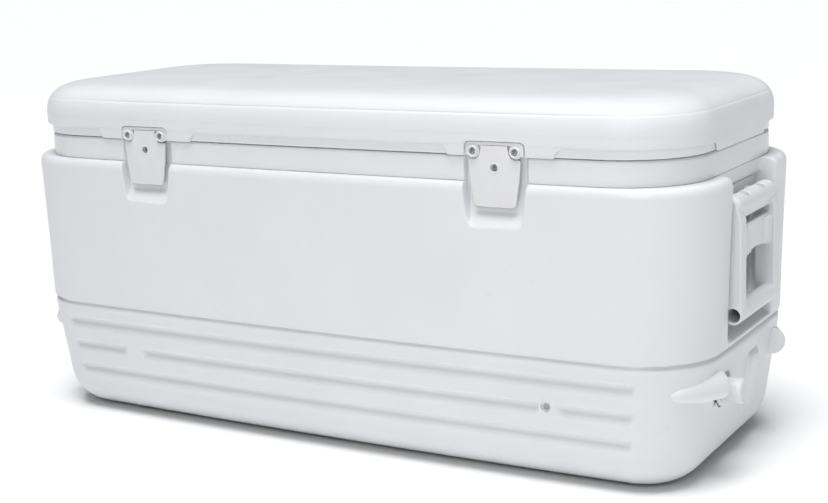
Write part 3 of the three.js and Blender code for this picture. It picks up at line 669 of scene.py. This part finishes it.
def notch_rise(along, start, sign):
    """0 to 1 up a notch's rounded end that starts at a place along the edge."""
    t = np.clip((sign * (along - start)) / NOTCH_RAMP, 0, 1)
    return np.sqrt(1 - (1 - t) ** 2)


def skirt_bottom(points):
    """Height of the lid's lower edge at each column, raised inside the notches."""
    x, y = points[:, 0], points[:, 1]
    centre = np.minimum(notch_rise(x, NOTCH_LEFT, 1), notch_rise(x, NOTCH_RIGHT, -1)) * (y < -120)
    ends = np.maximum(notch_rise(x, NOTCH_CORNER_X, 1), notch_rise(x, -NOTCH_CORNER_X, -1))
    sides = np.maximum(notch_rise(y, NOTCH_CORNER_Y, 1), notch_rise(y, -NOTCH_CORNER_Y, -1))
    corner = np.where(np.abs(x) > 430, sides, ends)
    rise = np.maximum(centre, corner)
    return NOTCH_LOW + (NOTCH_HIGH - NOTCH_LOW) * rise


LID_SIDE = curve_through([
    (412, 0), (418, 0.25), (424, 1.1), (429.0, 2.5), (432.6, 4.0), (434.0, 5.3), (435.6, 6.0), (438, 7.6),
    (441, 10.3), (445, 15.4), (448.2, 21.5), (451, 30), (453.4, 45), (455.2, 70), (456.3, 98), (457, 128)], 4)


def latch_notch_width(z):
    near = np.clip(5.5 - (LATCH_NOTCH_TOP - z), 0, 5.5)
    return (37.5 - (5.5 - math.sqrt(5.5 ** 2 - near ** 2))) / 37.5


def lid_ring(size, inset, z=None, share=None, outside=True):
    """One level of the lid; share runs from 0 at the notched lower edge to 1 at the straight levels above."""
    plan = LID_PLAN
    typical = z if z is not None else NOTCH_LOW + (410.0 - NOTCH_LOW) * share
    xs = plan.front
    if outside and typical < 404:
        for side in (-1, 1):
            xs = slid(xs, side * LATCH_X, LATCH_NOTCH_START, latch_notch_width(min(typical, LATCH_NOTCH_TOP)))
    points, _ = plan.ring(size, inset, xs)
    if z is None:
        low = skirt_bottom(plan.ring(LID, 0, xs)[0])
        heights = low + (410.0 - low) * share
    else:
        heights = np.full(len(points), float(z))
    if outside:
        front, back = plan.part["front"], plan.part["back"]
        y, h = points[front, 1], heights[front]
        depth = ease((LATCH_NOTCH_TOP + 0.8 - h) / 1.6)
        for side in (-1, 1):
            across = share_across(np.abs(plan.front - side * LATCH_X), LATCH_NOTCH_START, NOTCH_EDGE)
            y = y + across * depth * np.clip(LATCH_NOTCH_FACE - y, 0, None)
        points[front, 1] = y
        x, y, h = points[back, 0], points[back, 1], heights[back]
        depth = ease((409.6 - h) / 1.6)
        for hinge_x in HINGE_XS:
            across = ease(np.clip((HINGE_START - np.abs(x - hinge_x)) / 2.4, 0, 1))
            y = y - across * depth * np.clip(y - HINGE_FACE, 0, None)
        points[back, 1] = y
    return raised(points, heights)


def lid_crease(ring, z):
    """A shallow scored line along the front shoulder, fading towards both corners."""
    front = LID_PLAN.part["front"]
    x = ring[front, 0]
    fade = ease((x + 353) / 60.0) * ease((383 - x) / 60.0)
    ring[front, 1] += 0.7 * fade * math.exp(-((z - 433.2) / 0.9) ** 2)
    return ring


def lid_top_dip(ring):
    """The broad top sags a little in the middle of its length."""
    x = ring[:, 0] / LID["half"]
    ring[:, 2] -= 1.6 * np.clip(1 - x * x, 0, 1) * np.clip((ring[:, 2] - 440) / 17, 0, 1) ** 2
    return ring


def lid_shell():
    inner = [lid_ring(LID, 5.2, z=401, outside=False), lid_ring(LID, 5.0, share=0.25, outside=False),
             lid_ring(LID, 4.6, share=0.02, outside=False), lid_ring(LID, 3.6, share=0.0)]
    lower = [lid_ring(LID, inset, share=share) for share, inset in (
        (0.0, 2.6), (0.012, 1.9), (0.045, 1.45), (0.12, 1.2), (0.25, 0.9), (0.38, 0.7), (0.5, 0.5),
        (0.58, 0.4))]
    notch_tops = [lid_ring(LID, 0.25, z=z) for z in (
        399.6, 400.4, 401.0, 401.5, 402.0, 402.4, 402.8, 403.3, 404.5, 407, 408.2, 409, 409.8, 410.6)]
    rings = inner + lower + notch_tops
    rings += [lid_top_dip(lid_crease(lid_ring(LID, inset, z=z), z)) for z, inset in LID_SIDE]
    last = rings[-1]
    for share in (0.9, 0.75, 0.6, 0.45, 0.3, 0.15, 0.04):
        ring = last.copy()
        ring[:, :2] *= share
        ring[:, 2] = last[:, 2] * share ** 0.5 + (1 - share ** 0.5) * (457 - 1.6)
        rings.append(ring)
    piece("lid", [skin(rings, cap_end=True)], WHITE_SHELL, "lid", "shell_plastic", "lid_shell", sharp=50)


def lid_liner():
    """Inner band behind the notches, seat flange and the raised panel that plugs the tub."""
    def at(size, inset, z):
        points, _ = LID_PLAN.ring(size, inset)
        return raised(points, z)

    band = [(5.6, 400.6), (5.2, 399.4), (5.3, 394), (5.6, 388.4), (6.1, 387.0), (7.3, 386.3), (9.5, 386.1),
            (21, 386.1)]
    rings = [at(LID, inset, z) for inset, z in band]
    plug = [(-3.5, 386.1), (-1.5, 385.8), (-0.4, 384.6), (0.0, 383), (0.4, 380.0), (1.2, 377.8), (3.0, 376.4),
            (5.6, 376.0), (18, 376.0), (20.5, 376.4), (23, 377.8), (26, 378.6), (30, 378.8), (60, 378.8)]
    rings += [at(PLUG, inset, z) for inset, z in plug]
    rings += [shrink(rings[-1], share, 378.8) for share in (0.6, 0.3, 0.06)]
    piece("lid_inner", [skin(rings, cap_end=True)], WHITE_LINER_PAINTED_LIGHT, "lid", "liner_plastic", "lid_liner",
          sharp=50)


body_liner()
lid_shell()
lid_liner()
for node in ("body_foam", "lid_foam"):
    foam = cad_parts[node]
    foam.data.materials.clear()
    foam.data.materials.append(FOAM)


# ---------------------------------------------------------------- small solid builders
def arc(centre, radius, start, end, steps=10):
    angles = np.radians(np.linspace(start, end, steps + 1))
    return [(centre[0] + radius * math.cos(a), centre[1] + radius * math.sin(a)) for a in angles]


def rounded_corners(left, right, low, high):
    """Outline of a plate with 3 mm corners, from the places of their arcs' centres."""
    centres = (right, high), (left, high), (left, low), (right, low)
    return [point for i, centre in enumerate(centres) for point in arc(centre, 3.0, 90 * i, 90 * i + 90, 5)]


def extrude(axis, outline, low, high):
    """Prism from an outline in the two axes after the given one (x: y z, y: z x, z: x y)."""
    u, v, w = AXES[axis]
    rings = np.zeros((2, len(outline), 3))
    for ring, along in zip(rings, (low, high)):
        ring[:, u], ring[:, v], ring[:, w] = [p[0] for p in outline], [p[1] for p in outline], along
    return skin(rings, cap_start=True, cap_end=True)


def plate(axis, outlines, low, high, bevel):
    """Flat plate with rounded edges; the first outline is the rim and any others are holes in it."""
    curve = bpy.data.curves.new("outline", "CURVE")
    curve.dimensions, curve.fill_mode = "2D", "BOTH"
    for outline in outlines:
        spline = curve.splines.new("POLY")
        spline.points.add(len(outline) - 1)
        for point, (a, b) in zip(spline.points, outline):
            point.co = (a, b, 0, 1)
        spline.use_cyclic_u = True
    curve.extrude, curve.bevel_depth = (high - low) / 2 - bevel, bevel
    curve.offset, curve.bevel_resolution = -bevel, 3
    holder = bpy.data.objects.new("outline", curve)
    mesh = bpy.data.meshes.new_from_object(holder)
    u, v, w = AXES[axis]
    flat = np.array([vert.co[:] for vert in mesh.vertices])
    points = np.zeros_like(flat)
    points[:, u], points[:, v], points[:, w] = flat[:, 0], flat[:, 1], flat[:, 2] + (low + high) / 2
    faces = [tuple(face.vertices) for face in mesh.polygons]
    bpy.data.objects.remove(holder)
    bpy.data.curves.remove(curve)
    bpy.data.meshes.remove(mesh)
    return points, faces


def rod(axis, centre, radius, low, high, edge=0.4, count=36):
    along = [(radius - edge + edge * math.sin(a), low + edge - edge * math.cos(a))
             for a in np.linspace(0, math.pi / 2, 4)]
    profile = [(0.001, low)] + along + [(r, low + high - w) for r, w in reversed(along)] + [(0.001, high)]
    return lathe(axis, centre, profile, count)


def tube(axis, centre, profile, count, shape=None):
    """A lathed body whose profile closes on itself."""
    points, faces = lathe(axis, centre, profile, count, shape)
    faces = [face for face in faces if len(face) == 4]
    last = (len(profile) - 1) * count
    faces += [(last + i, last + (i + 1) % count, (i + 1) % count, i) for i in range(count)]
    return points, faces


def ring(axis, centre, inner, outer, low, high, edge=0.5, count=48):
    """Tube with rounded rims."""
    corners = [(outer - edge, low + edge, -90, 0), (outer - edge, high - edge, 0, 90),
               (inner + edge, high - edge, 90, 180), (inner + edge, low + edge, 180, 270)]
    profile = [(r + edge * math.cos(math.radians(a)), w + edge * math.sin(math.radians(a)))
               for r, w, start, end in corners for a in np.linspace(start, end, 4)]
    return tube(axis, centre, profile, count)


def box_mm(node):
    low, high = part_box(node)
    return np.array(low) / MM - (SHIFT, 0, 0), np.array(high) / MM - (SHIFT, 0, 0)


def screw(node, body, axis, side):
    """Pan-head screw with a cross recess, on the head end of its plain shank."""
    u, v, w = AXES[axis]
    low, high = box_mm(node)
    middle = (low + high) / 2
    radius, top = (high - low)[u] / 2, (high if side > 0 else low)[w]
    turn = math.radians(sum(ord(letter) for letter in node) % 90)
    angle = np.linspace(0, 2 * math.pi, 48, endpoint=False)
    rings = []
    for share in np.linspace(0.02, 1, 16):
        r = radius * share
        a, b = r * np.cos(angle), r * np.sin(angle)
        p = np.abs(a * math.cos(turn) + b * math.sin(turn))
        q = np.abs(b * math.cos(turn) - a * math.sin(turn))
        slot = np.maximum(ease((0.15 * radius - p) / 0.25 + 0.5) * ease((0.6 * radius - q) / 0.3 + 0.5),
                          ease((0.15 * radius - q) / 0.25 + 0.5) * ease((0.6 * radius - p) / 0.3 + 0.5))
        dome = 0.9 * (1 - math.sqrt(max(0.0, 1 - (share * 0.97) ** 2)))
        points = np.zeros((48, 3))
        points[:, u], points[:, v] = middle[u] + a, middle[v] + b
        points[:, w] = top - side * (dome + 0.9 * slot)
        rings.append(points)
    for r, drop in ((radius, 1.3), (radius * 0.97, 1.75), (1.55, 1.8), (1.55, 6.0)):
        points = np.zeros((48, 3))
        points[:, u] = middle[u] + r * np.cos(angle)
        points[:, v] = middle[v] + r * np.sin(angle)
        points[:, w] = top - side * drop
        rings.append(points)
    piece(node.replace("screw", "cross_screw"), [skin(rings, cap_start=True, cap_end=True)], STEEL, body,
          "steel", node, sharp=50)


# ---------------------------------------------------------------- latches
FLAP_TOP, FLAP_BOTTOM, EAR_X, EAR_Z, FLAP_HOLE_Z = 398.0, 328.0, 26.5, 391.5, 373


def both_halves(half, x):
    return [(z, x + dx) for dx, z in half] + [(z, x - dx) for dx, z in reversed(half)]


def latch_frame_outline(x):
    half = [(30.5, 402)] + [(31.0 + 5.5 * math.sin(a), 396.5 + 5.5 * math.cos(a))
                            for a in np.linspace(0.2, math.pi / 2, 7)]
    half += [(36.5, 391)] + [(EAR_X + 8 + 2 * math.cos(a), 388.5 + 2.4 * math.sin(a))
                             for a in np.linspace(0, -math.pi / 3, 3)]
    half += arc((EAR_X, EAR_Z), 8.0, -35, -225, 18)
    half += [(19.6, 398.3)]
    return both_halves(half, x)


def latch_flap_outline(x):
    half = [(16.6, FLAP_TOP), (17.1, 394.5)] + arc((EAR_X, EAR_Z), 9.0, 195, 285, 12)
    half += [(31.6, 381.9), (32.4, 380.4), (32.5, 378), (30.9, 358), (27.3, 336)]
    half += arc((21.8, FLAP_BOTTOM + 5.2), 4.9, 0, -80, 6) + [(11, FLAP_BOTTOM)]
    return both_halves(half, x)


def circle(centre, radius, count=32):
    return arc(centre, radius, 0, 360, count)[:-1]


def latch(name, side):
    x, body = side * LATCH_X, f"latch_{name}"
    parts = [plate("y", [latch_frame_outline(x)], -202.3, -199.3, 0.7)]
    for ear in (-1, 1):
        boss = [(6.9, -201.6), (6.55, -202.6), (6.4, -204.9), (6.1, -205.6), (5.5, -205.9), (4.9, -205.8),
                (4.35, -205.2), (4.1, -204.0), (4.1, -201.9), (0.01, -201.9)]
        parts.append(lathe("y", (x + ear * EAR_X, 0, EAR_Z), boss, 40))
    piece(f"latch_{name}_top", parts, WHITE_TRIM, "lid", "trim_plastic", f"latch_{name}_frame")
    blade = plate("y", [latch_flap_outline(x), circle((FLAP_HOLE_Z, x), 4.6)], -203.0, -200.0, 0.75)
    hem = ring("y", (x, 0, FLAP_HOLE_Z), 4.5, 6.4, -203.5, -201.0, 0.5, 40)
    piece(f"latch_{name}_blade", [blade, hem], WHITE_TRIM, body, "trim_plastic", f"latch_{name}_flap")
    post = [(5.4, -194.8), (5.4, -199.0), (4.9, -199.5), (4.3, -199.4), (3.8, -198.8), (3.8, -197.7),
            (0.01, -197.7)]
    piece(f"latch_{name}_post", [lathe("y", (x, 0, FLAP_HOLE_Z), post, 40)], WHITE_TRIM, "root",
          "trim_plastic", f"latch_{name}_keeper")
    for index in (1, 2):
        screw(f"latch_{name}_screw_{index}", "lid", "y", -1)
    screw(f"latch_{name}_keeper_screw", "root", "y", -1)


# ---------------------------------------------------------------- hinges
def hinge(name, x):
    y, z = 205.5, 385.6
    for up, body, spans, node, rows in ((-1, "root", ((-28, -10.2), (10.2, 28)), "body_leaf", (5, 26)),
                                        (1, "lid", ((-9.7, 9.7),), "lid_leaf", (5, 22))):
        low, high = sorted((z + up * rows[0], z + up * rows[1]))
        outline = rounded_corners(x - 25, x + 25, low + 3, high - 3)
        hole_z = 402 if up > 0 else 367
        rims = [[(q, p) for p, q in outline]] + [circle((hole_z, x + dx), 2.0, 20) for dx in (-18, 18)]
        parts = [plate("y", rims, 198.8, 201.2, 0.6)]
        for first, last in spans:
            parts.append(ring("x", (x, y, z), 2.1, 4.5, first, last, 0.5, 32))
            web = [(a, z + up * b) for a, b in (
                (198.9, 12), (198.9, 4), (y - 3.4, 1.2), (y - 2.3, 0.6), (y - 1.5, 3.9), (y - 0.5, 4.3),
                (202.4, 8.2), (201.2, 12))]
            parts.append(extrude("x", web, x + first, x + last))
        piece(f"hinge_{name}_{node}_moulding", parts, WHITE_TRIM, body, "trim_plastic",
              f"hinge_{name}_{node}")
    for index, body in ((1, "root"), (2, "root"), (3, "lid"), (4, "lid")):
        screw(f"hinge_{name}_screw_{index}", body, "y", 1)
    pin = box_mm(f"hinge_{name}_pin")
    piece(f"hinge_{name}_rod", [rod("x", (0, y, z), 1.9, pin[0][0], pin[1][0])], STEEL, "root", "steel",
          f"hinge_{name}_pin")


# ---------------------------------------------------------------- end handles
PIVOT_X, PIVOT_Z, BARREL = 483.0, 320.0, 12.0


def grip_solids():
    """The right-hand handle as overlapping closed blanks, and the cutters that hollow it."""
    def barrel(low, high, tail):
        back = arc((PIVOT_Z, PIVOT_X), BARREL, 90, -135, 22)
        return extrude("y", back + tail, low, high)

    ends = [(BARREL - 9 + 9 * math.sin(a), -62.0 - 12 * math.cos(a)) for a in np.linspace(0, math.pi / 2, 9)]
    profile = ends + [(r, -y) for r, y in reversed(ends)]
    blanks = [
        lathe("y", (PIVOT_X, 0, PIVOT_Z), profile, 64),
        barrel(-62, 62, [(308, 478), (304, 481), (304, 490.5)]),
    ]
    arm = arc((PIVOT_Z, PIVOT_X), 9.0, 90, -60, 10) + [
        (311, 474.4), (304, 474), (203.5, 474), (197, 477.6), (194.5, 478), (184, 488.5), (194.5, 499),
        (212.5, 498), (304, 497), (312, 494.6)]
    blanks += [extrude("y", arm, -74, -54), extrude("y", arm, 54, 74)]
    arch = [(54.5 * t, 255 + 7 * (1 - t * t)) for t in np.linspace(-1, 1, 17)]
    blanks.append(extrude("x", arch + [(56, 295), (-56, 295)], 486, 491.5))
    for side in (-1, 1):
        for y in (34.0, 41.0, 48.0):
            middle = side * y
            low = 257.5 + 7 * (1 - (y / 54) ** 2)
            blanks.append(extrude("x", [(middle - 1.6, low), (middle + 1.6, low), (middle + 1.6, 291.5),
                                        (middle - 1.6, 291.5)], 490, 496.2))
    blanks.append(rod("y", (488.5, 0, 194.5), 11, -74.8, 74.8, 0.8, 64))
    bore = lathe("y", (488.5, 0, 194.5), [(8.4, -84), (8.4, 84)], 64)
    pin_hole = lathe("y", (PIVOT_X, 0, PIVOT_Z), [(3.3, -55), (3.3, 55)], 24)
    cutters = [bore, pin_hole]
    for side in (-1, 1):
        low, high = sorted((side * 23.4, side * 36.6))
        cutters.append(extrude("z", [(463, low), (491.6, low), (491.6, high), (463, high)], 311.3, 346))
        low, high = sorted((side * 57.5, side * 70.5))
        cutters.append(extrude("z", [(469, low), (493, low), (493, high), (469, high)], 212, 304))
    return blanks, cutters


def grip_mesh():
    blanks, cutters = grip_solids()
    work = link("grip_blank", mesh_of("grip_blank", *join(*blanks)))
    tool = link("grip_cutter", mesh_of("grip_cutter", *join(*cutters)))
    cut = work.modifiers.new("cut", "BOOLEAN")
    cut.operation, cut.solver, cut.object, cut.use_self = "DIFFERENCE", "EXACT", tool, True
    melt = work.modifiers.new("melt", "REMESH")
    melt.mode, melt.voxel_size = "VOXEL", 0.00075
    soft = work.modifiers.new("soft", "SMOOTH")
    soft.factor, soft.iterations = 0.5, 7
    thin = work.modifiers.new("thin", "DECIMATE")
    thin.ratio = 0.42
    bpy.context.view_layer.update()
    mesh = bpy.data.meshes.new_from_object(work.evaluated_get(bpy.context.evaluated_depsgraph_get()))
    for spare in (work, tool):
        data = spare.data
        bpy.data.objects.remove(spare)
        bpy.data.meshes.remove(data)
    mesh.shade_smooth()
    return mesh


def end_for(side, parts):
    """Turn parts made for the right-hand end half round for the left-hand end."""
    points, faces = join(*parts)
    if side < 0:
        points = points * (-1, -1, 1)
    return [(points, faces)]


def handle(name, side, mesh):
    body = f"handle_{name}"
    mesh = mesh.copy()
    mesh.name = f"{body}_swing"
    if side < 0:
        centre = Matrix.Translation((SHIFT * MM, 0, 0))
        mesh.transform(centre @ Matrix.Rotation(math.pi, 4, "Z") @ centre.inverted())
    finish_piece(link(f"{body}_swing", mesh), WHITE_TRIM, body, "trim_plastic", f"{body}_grip")
    rim = rounded_corners(-57, 57, 303.4, 334.4)
    parts = [plate("x", [rim] + [circle((y, 306), 2.2, 20) for y in (-50, 50)], 465.3, 468.5, 0.7)]
    for y in (-30, 30):
        lug = [(PIVOT_Z - 8, 466), (PIVOT_Z - 8, PIVOT_X)] + arc((PIVOT_Z, PIVOT_X), 8.0, 180, 0, 18) + [
            (PIVOT_Z + 8, PIVOT_X), (PIVOT_Z + 8, 466)]
        parts.append(plate("y", [lug], y - 6, y + 6, 0.6))
    piece(f"{body}_mount", end_for(side, parts), WHITE_TRIM, "root", "trim_plastic", f"{body}_bracket")
    low, high = box_mm(f"{body}_pin")
    piece(f"{body}_axle", end_for(side, [rod("y", (PIVOT_X, 0, PIVOT_Z), 3.0, -(high - low)[1] / 2,
                                             (high - low)[1] / 2)]), STEEL, "root", "steel", f"{body}_pin")
    for index in (1, 2):
        screw(f"{body}_screw_{index}", "root", "x", side)


# ---------------------------------------------------------------- drain and foam ports
def hexagon(radius, along, angle):
    flat = np.cos(math.pi / 6) / np.cos((angle + math.pi / 6) % (math.pi / 3) - math.pi / 6)
    return np.minimum(radius * flat, radius * 0.975) if radius > 11 else np.full_like(angle, radius)


def drain():
    thread = []
    for i in range(9):
        start = 479.6 + 1.9 * i
        thread += [(10.4, start), (11.0, start + 0.5), (11.0, start + 0.9), (10.4, start + 1.4)]
    inner = [(8.8, 422.2), (9.4, 421.8), (10.5, 422.2), (10.9, 424), (10.9, 475.4), (17.9, 475.6),
             (19.0, 475.9), (19.5, 476.8), (19.4, 477.9), (18.8, 478.6), (17.9, 479.0), (11.8, 479.0),
             (10.9, 479.3)]
    fitting = inner + thread + [(10.3, 496.6), (9.6, 497.0), (8.8, 496.7)]
    piece("drain_spout", [tube("x", DRAIN, fitting, 72)], WHITE_TRIM, "root", "trim_plastic",
          "drain_fitting")
    nut = [(11.4, 422.0), (13.4, 422.0), (15.0, 422.9), (15.0, 427.1), (13.4, 428.0), (11.4, 428.0)]
    piece("drain_locknut", [tube("x", DRAIN, nut, 72, hexagon)], WHITE_TRIM, "root", "trim_plastic",
          "drain_nut", sharp=30)
    piece("drain_gasket", [ring("x", DRAIN, 11.3, 18.5, 473.3, 475.3, 0.7, 64)], RUBBER, "root", "rubber",
          "drain_seal")
    cap = [(12.2, 480.2), (13.9, 480.0), (14.8, 480.3), (15.0, 481.2), (15.0, 498.6), (14.8, 500.6),
           (14.2, 502.2), (13.1, 503.4), (11.6, 503.95), (9.8, 504.0), (8.9, 503.7), (8.4, 503.2), (4, 503.1),
           (1.6, 503.1), (1.2, 503.5), (0.01, 503.5)]
    inside = [(0.01, 499.6), (10.8, 499.6), (11.3, 499.2), (11.3, 482.0), (11.7, 480.5), (12.2, 480.2)]
    piece("drain_screw_cap", [lathe("x", DRAIN, inside + cap[1:], 72)], WHITE_TRIM, "drain_cap", "trim_plastic",
          "drain_cap")
    low, high = box_mm("drain_cap_washer")
    piece("drain_sealing_washer", [ring("x", DRAIN, 4.0, 10.6, low[0], high[0], 0.6, 48)], RUBBER,
          "drain_washer", "rubber", "drain_cap_washer")


def foam_plug(name):
    """Blind bung in a foaming hole: a cup with a rounded rim."""
    low, high = box_mm(f"foam_plug_{name}")
    middle, front = (low + high) / 2, low[1]
    cup = [(0.01, front + 9), (5.4, front + 9), (6.0, front + 8.4), (6.0, front + 0.6), (5.6, front + 0.1),
           (5.0, front), (4.4, front + 0.3), (4.2, front + 1.0), (4.2, front + 5.6), (3.6, front + 6.0),
           (0.01, front + 6.0)]
    piece(f"foam_bung_{name}", [lathe("y", (middle[0], 0, middle[2]), cup, 40)], WHITE_TRIM, "root",
          "trim_plastic", f"foam_plug_{name}")


blank_grip = grip_mesh()
for end_name, end_side in SIDES:
    latch(end_name, end_side)
    handle(end_name, end_side, blank_grip)
    foam_plug(end_name)
bpy.data.meshes.remove(blank_grip)
for hinge_name, hinge_x in zip(("left", "middle", "right"), HINGE_XS):
    hinge(hinge_name, hinge_x)
drain()


# ---------------------------------------------------------------- studio and camera
def stage_floor():
    mesh = bpy.data.meshes.new("studio_floor")
    size, z = 90.0, -0.0006
    corners = [(-size, -size, z), (size, -size, z), (size, size, z), (-size, size, z)]
    mesh.from_pydata(corners, [], [(0, 1, 2, 3)])
    material, tree, shader, place = nodes_of("studio_white")
    tree.links.new(ramp(tree, noise(tree, place, 3.0), [(0.3, grey(0.89)), (0.7, grey(0.91))]),
                   shader.inputs["Base Color"])
    shader.inputs["Roughness"].default_value = 0.9
    shader.inputs["Specular IOR Level"].default_value = 0.1
    mesh.materials.append(material)
    link("studio_floor", mesh)


def softbox(name, place, aim, size, power, colour=(1, 1, 1)):
    data = bpy.data.lights.new(name, "AREA")
    data.shape, data.size, data.size_y = "RECTANGLE", *size
    data.energy, data.color = power, colour
    lamp = bpy.data.objects.new(name, data)
    bpy.context.scene.collection.objects.link(lamp)
    lamp.visible_camera = False
    lamp.location = place
    lamp.rotation_euler = (Vector(aim) - Vector(place)).to_track_quat("-Z", "Y").to_euler()


def studio_light():
    world = bpy.data.worlds.new("studio")
    bpy.context.scene.world = world
    world.use_nodes = True
    background = world.node_tree.nodes["Background"]
    background.inputs["Color"].default_value = (0.985, 0.99, 1.0, 1)
    background.inputs["Strength"].default_value = 0.15
    softbox("key", (0.75, -1.55, 1.0), (0.35, -0.2, 0.3), (0.8, 0.6), 5.0, (1, 0.99, 0.98))
    daylight = bpy.data.lights.new("daylight", "SUN")
    daylight.energy, daylight.angle = 3.2, math.radians(36)
    daylight.color = (0.985, 0.992, 1.0)
    lamp = bpy.data.objects.new("daylight", daylight)
    bpy.context.scene.collection.objects.link(lamp)
    lamp.rotation_euler = Vector((-0.03, 0.18, -0.98)).to_track_quat("-Z", "Y").to_euler()


def photo_camera():
    """The photograph's camera, fitted to the rim, the step line and the outline."""
    yaw, pitch, roll = 0.5269, 0.2022, -0.0311
    forward = Vector((-math.sin(yaw) * math.cos(pitch), math.cos(yaw) * math.cos(pitch), -math.sin(pitch)))
    level = Vector((math.cos(yaw), math.sin(yaw), 0))
    above = level.cross(forward)
    right = level * math.cos(roll) + above * math.sin(roll)
    up = above * math.cos(roll) - level * math.sin(roll)
    data = bpy.data.cameras.new("photo_camera")
    data.lens, data.sensor_width, data.clip_end = 65.0, 36.0, 200.0
    camera = bpy.data.objects.new("photo_camera", data)
    bpy.context.scene.collection.objects.link(camera)
    camera.matrix_world = Matrix.Translation((1.00896 + SHIFT * MM, -1.68858, 0.62134)) @ Matrix(
        (right, up, -forward)).transposed().to_4x4()
    bpy.context.scene.camera = camera
    bpy.context.scene.view_settings.view_transform = "Standard"


stage_floor()
studio_light()
photo_camera()
